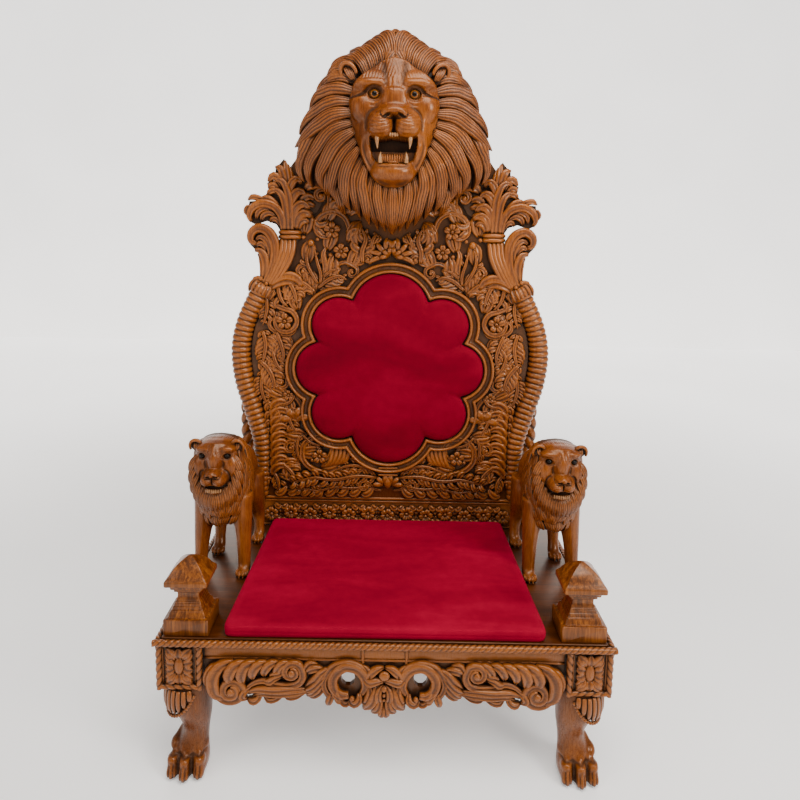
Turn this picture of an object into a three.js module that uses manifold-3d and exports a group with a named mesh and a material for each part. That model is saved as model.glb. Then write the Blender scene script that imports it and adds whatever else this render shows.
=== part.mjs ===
// A carved wooden throne with a velvet seat, a lobed velvet back and a lion-head crest.
// Millimetres, +Z up. The throne faces -Y, +X is on the right of someone facing it,
// and the origin lies on the floor below the middle of its bounding box.
import * as THREE from "three";
import { mergeVertices } from "three/addons/utils/BufferGeometryUtils.js";
import Module from "manifold-3d";

const wasm = await Module();
wasm.setup();

// ---- Driving dimensions ----
const GAP = 0.4;                  // clearance kept between neighbouring pieces
const WELD = 1e-3;                // distance below which vertices count as one

const DECK_TOP = 400;
const DECK_THICK = 24;
const DECK_HALF_WIDTH = 586;
const DECK_HALF_DEPTH = 388;
const ROPE_RADIUS = 9.5;          // rope moulding nailed round the deck's edge

const BLOCK_SIZE = 124;           // square corner block on top of each leg
const BLOCK_BOTTOM = 253;
const BLOCK_OUTER_X = 601;
const BLOCK_OUTER_Y = 400;
const FOOT_REACH = 425;           // how far the claws reach from the middle

const APRON_THICK = 24;
const APRON_HALF_WIDTH = BLOCK_OUTER_X - BLOCK_SIZE - GAP;

const CUSHION_HALF_WIDTH = 417;
const CUSHION_FRONT = -385;
const CUSHION_BACK = 246;
const CUSHION_TOP = 434;

const BACK_FACE = 249;            // front face of the pierced back, measured along +Y
const BACK_THICK = 30;
const RAIL_HALF_WIDTH = 450;
const RAIL_TOP = 512;

const MEDALLION_Z = 982;
const MEDALLION_REACH = 334;      // furthest edge of the back cushion from its middle
const LOBES = [                   // direction in degrees, distance to the lobe's middle, radius
  [0, 230, 95], [41.5, 233, 96], [90, 198, 136], [138.5, 233, 96],
  [180, 230, 95], [221.5, 233, 96], [270, 198, 136], [318.5, 233, 96],
];
const NOTCHES = [-21, 21, 62, 118, 159, 201, 242, 298, 339];
const FRAME_WIDTH = 38;
const FRAME_DEPTH = 26;

const LION_X = 507;
const LION_LENGTH = 290;
const PEDESTAL_X = 523;
const PEDESTAL_Y = -329;
const PEDESTAL_HEIGHT = 199;

const POST_X = 512;
const POST_Y = 318;
const POST_RADIUS = 25;
const POST_TOP = 1120;

const CREST_TOP = 2106;
const MANE_Z = 1780;              // height of the middle of the mane
const MANE_BACK = 214;            // the mane stands this far forward of the panel's leaves

const ROPE_SIDES = 12;
const ROPE_Z = DECK_TOP - ROPE_RADIUS;
const APRON_TOP = DECK_TOP - DECK_THICK - GAP;
const FOOT_LENGTH = 38;
const RAIL_WAVE_STEPS = 16;
const RAIL_DEPTH = 118;
const CUSHION_FLARE = 9;          // the cushion is this much wider at the front
const CORNER = 14;
const PEDESTAL_SQUASH = 0.92;
const COLUMN_Y = 250;
const COLUMN_TOP = 1236;
const COLUMN_SIDES = 8;
const COLUMN_MARGIN = 1;          // clearance cut round a column in the pieces it touches
const POINTS_PER_LOBE = 5;
const CAPITAL_DEPTH = 32;
const FRAME_BEVEL = 6;
const CUSHION_GAP = 3;            // room between the back cushion and its frame
const OPENING_LONG = 36;          // half length of a pierced opening
const OPENING_WIDE = 31;
const OPENING_PITCH = 86;
const OPENING_RINGS = 3;
const OPENING_MARGIN = 46;
const CREST_CLEAR_Z = 1560;

// ---- Materials ----
function varnishedWood(colour) {
  return new THREE.MeshStandardMaterial({ color: colour, roughness: 0.38, metalness: 0 });
}

function velvet() {
  return new THREE.MeshStandardMaterial({ color: 0xa3001e, roughness: 0.85, metalness: 0 });
}

const carvedWood = varnishedWood(0x9a5a2e);
const deckWood = varnishedWood(0x6a3a1c);
const crimson = velvet();

// ---- Solid helpers ----
function indexed(positions, triangles) {
  const geometry = new THREE.BufferGeometry();
  geometry.setAttribute("position", new THREE.Float32BufferAttribute(positions, 3));
  geometry.setIndex(triangles);
  return geometry;
}

// Closed, welded copy of a geometry without collapsed triangles.
function welded(geometry) {
  const bare = geometry.clone();
  bare.deleteAttribute("normal");
  bare.deleteAttribute("uv");
  const joined = mergeVertices(bare, WELD);
  const kept = [];
  const source = joined.index.array;
  for (let i = 0; i < source.length; i += 3) {
    const [a, b, c] = [source[i], source[i + 1], source[i + 2]];
    if (a !== b && b !== c && c !== a) kept.push(a, b, c);
  }
  joined.setIndex(kept);
  return joined;
}

function solidOf(geometry) {
  const closed = welded(geometry);
  return new wasm.Manifold(new wasm.Mesh({
    numProp: 3,
    vertProperties: new Float32Array(closed.attributes.position.array),
    triVerts: new Uint32Array(closed.index.array),
  }));
}

function geometryOf(solid) {
  const mesh = solid.getMesh();
  return indexed(Array.from(mesh.vertProperties), Array.from(mesh.triVerts));
}

function union(geometries) {
  return geometries.map(solidOf).reduce((sum, next) => sum.add(next));
}

// Closed skin through a list of rings that all have the same number of points.
// Each end is closed by a fan round the middle of its ring.
function loft(rings) {
  const count = rings[0].length;
  const positions = [];
  for (const ring of rings) for (const point of ring) positions.push(point.x, point.y, point.z);
  const triangles = [];
  for (let row = 0; row + 1 < rings.length; row += 1) {
    for (let i = 0; i < count; i += 1) {
      const a = row * count + i;
      const b = row * count + (i + 1) % count;
      triangles.push(a, b, b + count, a, b + count, a + count);
    }
  }
  const ends = [[0, rings[0], true], [(rings.length - 1) * count, rings.at(-1), false]];
  for (const [first, ring, turned] of ends) {
    const middle = ring.reduce((sum, point) => sum.add(point), new THREE.Vector3());
    middle.divideScalar(count);
    const hub = positions.length / 3;
    positions.push(middle.x, middle.y, middle.z);
    for (let i = 0; i < count; i += 1) {
      const a = first + i;
      const b = first + (i + 1) % count;
      triangles.push(hub, turned ? b : a, turned ? a : b);
    }
  }
  return indexed(positions, triangles);
}

// Upright loft: each level gives a height, a centre and two half sizes.
// A squareness of 1 gives an ellipse, and smaller values give a rounder-cornered box.
function uprightLoft(levels, sides, squareness = 1) {
  return loft(levels.map(({ z, x = 0, y = 0, a, b }) => {
    const ring = [];
    for (let i = 0; i < sides; i += 1) {
      const angle = (2 * Math.PI * (i + 0.5)) / sides;
      const cos = Math.cos(angle);
      const sin = Math.sin(angle);
      ring.push(new THREE.Vector3(
        x + a * Math.sign(cos) * Math.abs(cos) ** squareness,
        y + b * Math.sign(sin) * Math.abs(sin) ** squareness,
        z,
      ));
    }
    return ring;
  }));
}

// Round bar through stations [x, y, z, radius] that stay close to an upright plane.
function taperedBar(stations, sides, stepsPerSpan) {
  const curve = new THREE.CatmullRomCurve3(stations.map(([x, y, z]) => new THREE.Vector3(x, y, z)));
  const spans = stations.length - 1;
  const steps = spans * stepsPerSpan;
  const rings = [];
  for (let row = 0; row <= steps; row += 1) {
    const share = row / steps;
    const centre = curve.getPoint(share);
    const along = curve.getTangent(share);
    const across = new THREE.Vector3(0, 1, 0).cross(along).normalize();
    const depth = along.clone().cross(across).normalize();
    const span = Math.min(Math.floor(share * spans), spans - 1);
    const radius = THREE.MathUtils.lerp(
      stations[span][3], stations[span + 1][3], share * spans - span,
    );
    const ring = [];
    for (let i = 0; i < sides; i += 1) {
      const angle = (2 * Math.PI * i) / sides;
      ring.push(centre.clone()
        .addScaledVector(across, radius * Math.cos(angle))
        .addScaledVector(depth, radius * Math.sin(angle)));
    }
    rings.push(ring);
  }
  return loft(rings);
}

function ellipsoid(x, y, z, a, b, c, around = 8, up = 6) {
  const geometry = new THREE.SphereGeometry(1, around, up);
  geometry.rotateX(Math.PI / 2);
  geometry.scale(a, b, c);
  geometry.translate(x, y, z);
  return geometry;
}

function box(x0, x1, y0, y1, z0, z1) {
  const geometry = new THREE.BoxGeometry(x1 - x0, y1 - y0, z1 - z0);
  geometry.translate((x0 + x1) / 2, (y0 + y1) / 2, (z0 + z1) / 2);
  return geometry;
}

// Board cut to an outline in the XZ plane, from y0 back to y0 + thick.
function board(shape, y0, thick, curveSegments = 6) {
  const geometry = new THREE.ExtrudeGeometry(shape, {
    depth: thick, bevelEnabled: false, curveSegments,
  });
  geometry.rotateX(Math.PI / 2);
  geometry.translate(0, y0 + thick, 0);
  return geometry;
}

// Copy mirrored in the X or Y axis, with its faces still pointing out.
function mirrored(geometry, axis) {
  const copy = geometry.clone();
  copy.scale(axis === "x" ? -1 : 1, axis === "y" ? -1 : 1, 1);
  const index = Array.from(copy.index.array);
  for (let i = 0; i < index.length; i += 3) {
    [index[i + 1], index[i + 2]] = [index[i + 2], index[i + 1]];
  }
  copy.setIndex(index);
  return copy;
}

const throne = new THREE.Group();

function addPiece(name, geometry, material) {
  const mesh = new THREE.Mesh(geometry, material.clone());
  mesh.name = name;
  throne.add(mesh);
}

function addPair(name, rightGeometry, material) {
  addPiece(`right_${name}`, rightGeometry, material);
  addPiece(`left_${name}`, mirrored(rightGeometry, "x"), material);
}

// Point list with its mirror image in X, running on round the other side.
function mirroredOutline(half) {
  const right = half.map(([x, z]) => new THREE.Vector2(x, z));
  const left = half.filter(([x]) => x > 0).reverse().map(([x, z]) => new THREE.Vector2(-x, z));
  return [...right, ...left];
}

// ---- Deck and its rope mouldings ----
function deck() {
  return geometryOf(solidOf(box(
    -DECK_HALF_WIDTH, DECK_HALF_WIDTH, -DECK_HALF_DEPTH, DECK_HALF_DEPTH,
    DECK_TOP - DECK_THICK, DECK_TOP,
  )));
}

function frontRope() {
  const length = 2 * (DECK_HALF_WIDTH + GAP + 2 * ROPE_RADIUS);
  const geometry = new THREE.CylinderGeometry(ROPE_RADIUS, ROPE_RADIUS, length, ROPE_SIDES);
  geometry.rotateZ(Math.PI / 2);
  geometry.translate(0, -DECK_HALF_DEPTH - GAP - ROPE_RADIUS, ROPE_Z);
  return geometryOf(solidOf(geometry));
}

function sideRope() {
  const length = 2 * DECK_HALF_DEPTH;
  const geometry = new THREE.CylinderGeometry(ROPE_RADIUS, ROPE_RADIUS, length, ROPE_SIDES);
  geometry.translate(DECK_HALF_WIDTH + GAP + ROPE_RADIUS, 0, ROPE_Z);
  return geometryOf(solidOf(geometry));
}

// ---- Legs: square block, cabriole knee and lion's paw in one piece ----
function leg() {
  const centreX = BLOCK_OUTER_X - BLOCK_SIZE / 2;
  const block = box(
    BLOCK_OUTER_X - BLOCK_SIZE, BLOCK_OUTER_X, -BLOCK_OUTER_Y, BLOCK_SIZE - BLOCK_OUTER_Y,
    BLOCK_BOTTOM, DECK_TOP - DECK_THICK - GAP,
  );
  const shank = uprightLoft([
    { z: -10, x: centreX - 11, y: -352, a: 50, b: 46 },
    { z: 30, x: centreX - 11, y: -352, a: 52, b: 50 },
    { z: 60, x: centreX - 14, y: -347, a: 47, b: 45 },
    { z: 97, x: centreX - 24, y: -336, a: 37, b: 39 },
    { z: 125, x: centreX - 26, y: -333, a: 38, b: 44 },
    { z: 160, x: centreX - 22, y: -334, a: 45, b: 54 },
    { z: 205, x: centreX - 18, y: -336, a: 49, b: 61 },
    { z: BLOCK_BOTTOM + 8, x: centreX - 16, y: -335, a: 49, b: 62 },
  ], 10, 0.8);
  const toes = [-1, 0, 1].map((side) => ellipsoid(
    centreX - 11 + 36 * side, FOOT_LENGTH - FOOT_REACH, 26, 19, FOOT_LENGTH, 32, 7, 5,
  ));
  const floorUp = box(0, 2 * BLOCK_OUTER_X, -2 * FOOT_REACH, 0, 0, DECK_TOP);
  return geometryOf(union([block, shank, ...toes]).intersect(solidOf(floorUp)));
}

// ---- Aprons under the deck ----
function frontApron() {
  const outline = new THREE.Shape(mirroredOutline([
    [APRON_HALF_WIDTH, APRON_TOP], [APRON_HALF_WIDTH, 300], [464, 256],
    [438, 230], [401, 218], [376, 240], [358, 236], [320, 247], [266, 241], [228, 255],
    [203, 244], [168, 252], [147, 222], [130, 240], [110, 240], [88, 230], [66, 236],
    [50, 226], [58, 206], [32, 207], [15, 190], [0, 181],
  ]));
  for (const side of [-1, 1]) {
    const eye = new THREE.Path();
    eye.absellipse(side * 96, 290, 19, 24, 0, 2 * Math.PI);
    outline.holes.push(eye);
  }
  return geometryOf(solidOf(board(outline, -BLOCK_OUTER_Y + 10, APRON_THICK, 5)));
}

// Plain rail with a serpentine lower edge, drawn along X and centred on it.
function serpentineRail(halfLength, y0) {
  const points = [[halfLength, APRON_TOP]];
  for (let i = 0; i <= RAIL_WAVE_STEPS; i += 1) {
    const share = i / RAIL_WAVE_STEPS;
    const drop = RAIL_DEPTH * (0.72 + 0.28 * Math.cos(4 * Math.PI * share));
    points.push([halfLength * (1 - share), APRON_TOP - drop]);
  }
  return board(new THREE.Shape(mirroredOutline(points)), y0, APRON_THICK);
}

function sideRail() {
  const halfLength = BLOCK_OUTER_Y - BLOCK_SIZE - GAP;
  const geometry = serpentineRail(halfLength, 0);
  geometry.rotateZ(Math.PI / 2);
  geometry.translate(BLOCK_OUTER_X - 14, 0, 0);
  return geometryOf(solidOf(geometry));
}

function backRail() {
  return geometryOf(solidOf(serpentineRail(APRON_HALF_WIDTH, BLOCK_OUTER_Y - 14 - APRON_THICK)));
}

// ---- Seat cushion: boxed pad, a little narrower at the back ----
function seatCushion() {
  const ring = (z, inset) => {
    const front = CUSHION_HALF_WIDTH + CUSHION_FLARE - inset;
    const back = CUSHION_HALF_WIDTH - CUSHION_FLARE - inset;
    return [
      [back - CORNER, CUSHION_BACK - inset], [-back + CORNER, CUSHION_BACK - inset],
      [-back, CUSHION_BACK - CORNER - inset], [-front, CUSHION_FRONT + CORNER + inset],
      [-front + CORNER, CUSHION_FRONT + inset], [front - CORNER, CUSHION_FRONT + inset],
      [front, CUSHION_FRONT + CORNER + inset], [back, CUSHION_BACK - CORNER - inset],
    ].map(([x, y]) => new THREE.Vector3(x, y, z));
  };
  return geometryOf(solidOf(loft([
    ring(DECK_TOP + GAP, 3), ring(DECK_TOP + 8, 0), ring(CUSHION_TOP - 10, 0),
    ring(CUSHION_TOP - 3, 4), ring(CUSHION_TOP, 16),
  ])));
}

// ---- Pedestals: stepped square column with a hipped cap ----
function pedestal() {
  const levels = [
    [GAP, 59.5], [44, 49], [44, 44], [62, 43], [62, 40], [72, 38.5], [72, 36], [80, 34],
    [90, 30.5], [97, 29], [109, 29], [109, 36], [120, 37], [120, 44], [131, 46], [131, 56.5],
    [147, 56.5], [149, 54], [158, 46], [166, 42.5], [173, 42], [183, 32], [190, 22], [196, 12],
    [PEDESTAL_HEIGHT, 6],
  ];
  return geometryOf(solidOf(loft(levels.map(([height, half]) => (
    [[-1, -1], [1, -1], [1, 1], [-1, 1]].map(([sx, sy]) => new THREE.Vector3(
      PEDESTAL_X + sx * half, PEDESTAL_Y + sy * half * PEDESTAL_SQUASH, DECK_TOP + height,
    ))
  )))));
}

// ---- Lions: each walks forward on the deck, carved with its mane and tail in one piece ----
function lion() {
  const legAt = (x, y, hipX, hipY, hipZ, thick) => taperedBar([
    [x, y, DECK_TOP - 10, 19], [x, y + 2, DECK_TOP + 60, 20], [hipX, hipY, hipZ, thick],
  ], 6, 1);
  const paw = (x, y) => ellipsoid(x, y - 14, DECK_TOP + 10, 23, 34, 20, 6, 3);
  const feet = [
    [LION_X + 70, -74, LION_X + 50, -48], [LION_X - 66, -70, LION_X - 48, -46],
    [LION_X + 60, 58, LION_X + 44, 126], [LION_X - 68, 142, LION_X - 44, 140],
  ];
  const parts = [
    ellipsoid(LION_X, 0.17 * LION_LENGTH, 655, 76, 0.52 * LION_LENGTH, 88, 7, 5),
    ellipsoid(LION_X, 0.5 * LION_LENGTH, 655, 72, 64, 92, 7, 5),
    ellipsoid(LION_X + 6, -32, 665, 92, 76, 152, 7, 5),
    ellipsoid(LION_X + 12, -62, 742, 90, 58, 88, 7, 5),
    ellipsoid(LION_X + 14, -100, 748, 60, 48, 66, 6, 5),
    ellipsoid(LION_X + 15, -134, 716, 37, 34, 36, 6, 5),
    ellipsoid(LION_X + 15, -124, 684, 30, 30, 22, 6, 4),
    ellipsoid(LION_X - 46, -76, 806, 20, 12, 20, 5, 4),
    ellipsoid(LION_X + 74, -76, 806, 20, 12, 20, 5, 4),
    taperedBar([
      [LION_X, 190, 700, 16], [LION_X - 4, 232, 640, 12], [LION_X - 2, 226, 520, 10],
      [LION_X + 4, 222, 470, 20], [LION_X + 8, 224, 432, 6],
    ], 6, 1),
  ];
  for (const [x, y, hipX, hipY] of feet) {
    parts.push(legAt(x, y, hipX, hipY, 600, 34), paw(x, y));
  }
  const aboveDeck = box(0, 2 * BLOCK_OUTER_X, -FOOT_REACH, FOOT_REACH, DECK_TOP + GAP, CREST_TOP);
  return geometryOf(union(parts).intersect(solidOf(aboveDeck)));
}

// ---- Back: lower rail, columns, posts and pierced panel ----
function lowerRail() {
  const back = BACK_FACE + BACK_THICK + 6;
  const profile = new THREE.Shape([
    [BACK_FACE, DECK_TOP + GAP], [back, DECK_TOP + GAP], [back, RAIL_TOP],
    [BACK_FACE, RAIL_TOP], [BACK_FACE - 5, RAIL_TOP - 3], [BACK_FACE - 5, RAIL_TOP - 9],
    [BACK_FACE, RAIL_TOP - 12],
  ].map(([y, z]) => new THREE.Vector2(y, z)));
  const geometry = new THREE.ExtrudeGeometry(profile, {
    depth: 2 * RAIL_HALF_WIDTH, bevelEnabled: false,
  });
  geometry.rotateX(Math.PI / 2);
  geometry.rotateZ(Math.PI / 2);
  geometry.translate(-RAIL_HALF_WIDTH, 0, 0);
  return geometryOf(solidOf(geometry));
}

// Stations of the bowed horn-like column: x, z and radius.
const COLUMN_STATIONS = [
  [440, RAIL_TOP + 5 * GAP, 15], [442, 560, 20], [445, 620, 27], [447, 720, 33], [475, 829, 35],
  [507, 937, 35], [517, 1044, 35], [499, 1140, 34], [452, COLUMN_TOP, 36],
];

function columnBar(margin) {
  const stations = COLUMN_STATIONS.map(([x, z, radius]) => [x, COLUMN_Y, z, radius + margin]);
  return taperedBar(stations, COLUMN_SIDES, 2);
}

// Room cut for a column in the pieces beside it, with a flat bulge past each of its ends.
function columnRoom() {
  const ends = [COLUMN_STATIONS[0], COLUMN_STATIONS.at(-1)].map(([x, z, radius]) => ellipsoid(
    x, COLUMN_Y, z, radius + 4, radius + 4, 8,
  ));
  return union([columnBar(COLUMN_MARGIN), ...ends]);
}

function column() {
  return geometryOf(solidOf(columnBar(0)));
}

function spiralPost() {
  const bottom = DECK_TOP + GAP;
  const profile = [
    [0, bottom], [34, bottom], [34, bottom + 24], [27, bottom + 30], [POST_RADIUS, bottom + 44],
    [POST_RADIUS, POST_TOP - 60], [30, POST_TOP - 52], [30, POST_TOP - 42],
    [17, POST_TOP - 34], [22, POST_TOP - 16], [10, POST_TOP - 3], [0, POST_TOP],
  ];
  const geometry = new THREE.LatheGeometry(profile.map(([r, z]) => new THREE.Vector2(r, z)), 10);
  geometry.rotateX(Math.PI / 2);
  geometry.translate(POST_X, POST_Y, 0);
  return geometryOf(solidOf(geometry));
}

// Distance from the medallion's middle to its lobed edge, grown outwards by a margin.
function lobeReach(angle, grow) {
  return Math.max(...LOBES.map(([degrees, away, radius]) => {
    const turn = angle - THREE.MathUtils.degToRad(degrees);
    const room = (radius + grow) ** 2 - (away * Math.sin(turn)) ** 2;
    return room > 0 ? away * Math.cos(turn) + Math.sqrt(room) : 0;
  }));
}

function lobedOutline(grow) {
  const points = [];
  for (let lobe = 0; lobe + 1 < NOTCHES.length; lobe += 1) {
    for (let i = 0; i < POINTS_PER_LOBE; i += 1) {
      const degrees = THREE.MathUtils.lerp(NOTCHES[lobe], NOTCHES[lobe + 1], i / POINTS_PER_LOBE);
      const angle = THREE.MathUtils.degToRad(degrees);
      const reach = lobeReach(angle, grow);
      points.push(new THREE.Vector2(reach * Math.cos(angle), reach * Math.sin(angle)));
    }
  }
  return points;
}

function medallionFrame() {
  const shape = new THREE.Shape(lobedOutline(FRAME_WIDTH - FRAME_BEVEL));
  shape.holes.push(new THREE.Path(lobedOutline(FRAME_BEVEL + CUSHION_GAP)));
  const geometry = new THREE.ExtrudeGeometry(shape, {
    depth: FRAME_DEPTH - FRAME_BEVEL, bevelSize: FRAME_BEVEL, bevelThickness: FRAME_BEVEL,
    bevelSegments: 1,
  });
  geometry.rotateX(Math.PI / 2);
  geometry.translate(0, BACK_FACE - GAP - FRAME_BEVEL, MEDALLION_Z);
  return geometryOf(solidOf(geometry));
}

function backCushion() {
  const ring = (depth, grow, scale) => lobedOutline(grow)
    .map((point) => new THREE.Vector3(point.x * scale, point.y * scale, depth));
  const geometry = loft([
    ring(GAP, -GAP, 1), ring(14, -GAP, 1), ring(22, -6, 1), ring(27, -6, 0.95),
    ring(31, -6, 0.8), ring(33, -6, 0.6),
  ]);
  geometry.rotateX(Math.PI / 2);
  geometry.translate(0, BACK_FACE, MEDALLION_Z);
  return geometryOf(solidOf(geometry));
}

// Half outline of the pierced panel, from its top down to the lower rail.
const PANEL_HALF = [
  [0, 1930], [120, 1915], [225, 1845], [285, 1760], [330, 1690], [366, 1640], [372, 1560],
  [366, 1440], [384, 1340], [440, 1236], [499, 1140], [517, 1044], [507, 937], [475, 829],
  [447, 720], [445, 620], [440, RAIL_TOP + GAP],
];

// Distance from a point to the nearest edge of the panel's half outline.
function edgeDistance(x, z) {
  let nearest = z - RAIL_TOP;
  for (let i = 0; i + 1 < PANEL_HALF.length; i += 1) {
    const a = new THREE.Vector3(...PANEL_HALF[i], 0);
    const b = new THREE.Vector3(...PANEL_HALF[i + 1], 0);
    const point = new THREE.Vector3(x, z, 0);
    const closest = new THREE.Line3(a, b).closestPointToPoint(point, true, new THREE.Vector3());
    nearest = Math.min(nearest, closest.distanceTo(point));
  }
  return nearest;
}

// Half width of the panel at a height.
function halfWidthAt(z) {
  for (let i = 0; i + 1 < PANEL_HALF.length; i += 1) {
    const [x0, z0] = PANEL_HALF[i];
    const [x1, z1] = PANEL_HALF[i + 1];
    if (z <= z0 && z >= z1 && z0 > z1) return THREE.MathUtils.mapLinear(z, z0, z1, x0, x1);
  }
  return 0;
}

// Leaf-shaped opening with its long axis along the given angle.
function opening(x, z, angle) {
  const shape = [[-1, 0], [-0.4, -0.6], [0.3, -0.5], [1, 0], [0.3, 0.6], [-0.4, 0.5]];
  return new THREE.Path(shape.map(([u, v]) => new THREE.Vector2(
    x + OPENING_LONG * u * Math.cos(angle) - OPENING_WIDE * v * Math.sin(angle),
    z + OPENING_LONG * u * Math.sin(angle) + OPENING_WIDE * v * Math.cos(angle),
  )));
}

function backPanel() {
  const outline = new THREE.Shape(mirroredOutline(PANEL_HALF));
  for (let ring = 0; ring < OPENING_RINGS; ring += 1) {
    const radius = MEDALLION_REACH + FRAME_WIDTH + OPENING_LONG + ring * OPENING_PITCH;
    const count = Math.round((Math.PI * radius) / OPENING_PITCH);
    for (let i = 0; i < count; i += 1) {
      const angle = -Math.PI / 2 + (Math.PI * (i + 0.5)) / count;
      const x = radius * Math.cos(angle);
      const z = MEDALLION_Z + radius * Math.sin(angle);
      const clear = x > OPENING_LONG + 8 && x < halfWidthAt(z) && z < CREST_CLEAR_Z;
      if (!clear || edgeDistance(x, z) < OPENING_MARGIN) continue;
      outline.holes.push(opening(x, z, angle + 0.7), opening(-x, z, Math.PI - angle - 0.7));
    }
  }
  const plate = solidOf(board(outline, BACK_FACE, BACK_THICK));
  const rightRoom = columnRoom();
  const leftRoom = solidOf(mirrored(geometryOf(rightRoom), "x"));
  return geometryOf(plate.subtract(rightRoom).subtract(leftRoom));
}

// ---- Capitals: bundled stems, a double ring and sprays of leaves ----
function capital() {
  const lowerLeaf = new THREE.Shape([
    [424, 1275], [446, 1290], [438, 1352], [460, 1385], [481, 1406], [491, 1441], [474, 1472],
    [440, 1470], [412, 1440], [392, 1390], [396, 1320],
  ].map(([x, z]) => new THREE.Vector2(x, z)));
  const upperSpray = new THREE.Shape([
    [376, 1450], [392, 1476], [424, 1487], [462, 1474], [478, 1482], [490, 1514], [483, 1552],
    [440, 1556], [418, 1590], [423, 1614], [396, 1626], [394, 1662], [366, 1694], [340, 1652],
    [322, 1612], [262, 1584], [232, 1560], [254, 1520], [296, 1497], [312, 1450],
  ].map(([x, z]) => new THREE.Vector2(x, z)));
  const front = BACK_FACE - GAP - CAPITAL_DEPTH;
  const stemY = BACK_FACE - GAP - 32;
  const stems = taperedBar([
    [452, COLUMN_Y, COLUMN_TOP + 4, 36], [424, stemY + 6, 1286, 27],
    [384, stemY + 2, 1350, 22], [356, stemY, 1400, 26], [345, stemY, 1436, 31],
  ], 8, 1);
  const ring = new THREE.LatheGeometry(
    [[0, 1426], [35, 1426], [37, 1432], [34, 1439], [37, 1446], [35, 1452], [0, 1452]]
      .map(([r, z]) => new THREE.Vector2(r, z)), 8,
  );
  ring.rotateX(Math.PI / 2);
  ring.translate(345, stemY - 4, 0);
  const solid = union([
    board(lowerLeaf, front, CAPITAL_DEPTH), board(upperSpray, front, CAPITAL_DEPTH), stems, ring,
  ]);
  const panelSpace = box(0, BLOCK_OUTER_X, BACK_FACE - GAP, FOOT_REACH, 0, CREST_TOP);
  return geometryOf(solid.subtract(solidOf(panelSpace)).subtract(columnRoom()));
}

// ---- Crest: a roaring lion's head in its mane ----
const MANE_HALF = [
  [0, 2106], [60, 2078], [121, 2044], [158, 2000], [206, 1972], [226, 1925], [262, 1890],
  [280, 1838], [306, 1800], [322, 1735], [306, 1690], [308, 1635], [272, 1600], [214, 1566],
  [180, 1520], [128, 1508], [66, 1476], [0, 1454],
];

function maneRing(scale, y) {
  return mirroredOutline(MANE_HALF).reverse().map((point) => new THREE.Vector3(
    point.x * scale, y, MANE_Z + (point.y - MANE_Z) * scale,
  ));
}

function crest() {
  const mane = loft([
    maneRing(0.9, MANE_BACK), maneRing(1, MANE_BACK - 26), maneRing(0.94, MANE_BACK - 66),
    maneRing(0.76, MANE_BACK - 96), maneRing(0.5, MANE_BACK - 108),
  ]);
  const backing = new THREE.Shape(mirroredOutline([
    [0, 2010], [110, 1980], [200, 1880], [225, 1760], [190, 1690], [185, 1610], [120, 1550],
    [0, 1520],
  ]));
  const head = [
    ellipsoid(0, 128, 1846, 143, 84, 118, 12, 7),
    ellipsoid(0, 122, 1712, 98, 78, 112, 10, 6),
    ellipsoid(0, 72, 1796, 66, 56, 44, 8, 5),
    ellipsoid(0, 60, 1842, 42, 48, 62, 8, 5),
    ellipsoid(0, 84, 1642, 62, 56, 42, 8, 5),
  ];
  for (const side of [-1, 1]) {
    head.push(ellipsoid(side * 60, 62, 1880, 19, 18, 19, 7, 4));
    head.push(ellipsoid(side * 64, 70, 1912, 46, 22, 16, 7, 4));
    head.push(ellipsoid(side * 130, 124, 1942, 27, 36, 33, 7, 4));
    head.push(ellipsoid(side * 34, 42, 1774, 36, 32, 32, 7, 5));
  }
  const mouth = ellipsoid(0, 46, 1706, 56, 54, 36, 8, 5);
  const solid = union([
    mane, board(backing, MANE_BACK - 1, BACK_FACE - GAP - MANE_BACK + 1), ...head,
  ]);
  return geometryOf(solid.subtract(solidOf(mouth)));
}

// ---- Assembly ----
addPiece("seat_deck", deck(), deckWood);
addPiece("front_rope_moulding", frontRope(), carvedWood);
addPair("rope_moulding", sideRope(), carvedWood);

const frontLeg = leg();
addPair("front_leg", frontLeg, carvedWood);
addPair("back_leg", mirrored(frontLeg, "y"), carvedWood);

addPiece("front_apron", frontApron(), carvedWood);
addPair("side_rail", sideRail(), carvedWood);
addPiece("back_rail", backRail(), deckWood);
addPiece("seat_cushion", seatCushion(), crimson);
addPair("pedestal", pedestal(), deckWood);
addPair("lion", lion(), carvedWood);

addPiece("lower_carved_rail", lowerRail(), carvedWood);
addPair("reeded_column", column(), carvedWood);
addPair("spiral_post", spiralPost(), carvedWood);
addPiece("back_panel", backPanel(), carvedWood);
addPiece("medallion_frame", medallionFrame(), carvedWood);
addPiece("back_cushion", backCushion(), crimson);
addPair("capital", capital(), carvedWood);
addPiece("crest_lion_head", crest(), carvedWood);

export default throne;
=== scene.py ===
"""Carved throne: every visible surface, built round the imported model.

The sizes in the classes are in millimetres, in the part's own frame: +Z up, the throne faces -Y.
Meshes are made in metres. Carved relief is built from closed shells swept along curves.
"""

import logging
import math
from collections.abc import Callable, Sequence
from dataclasses import dataclass, field
from enum import Enum

import bpy
import numpy as np
from mathutils import Matrix, Vector


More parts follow.
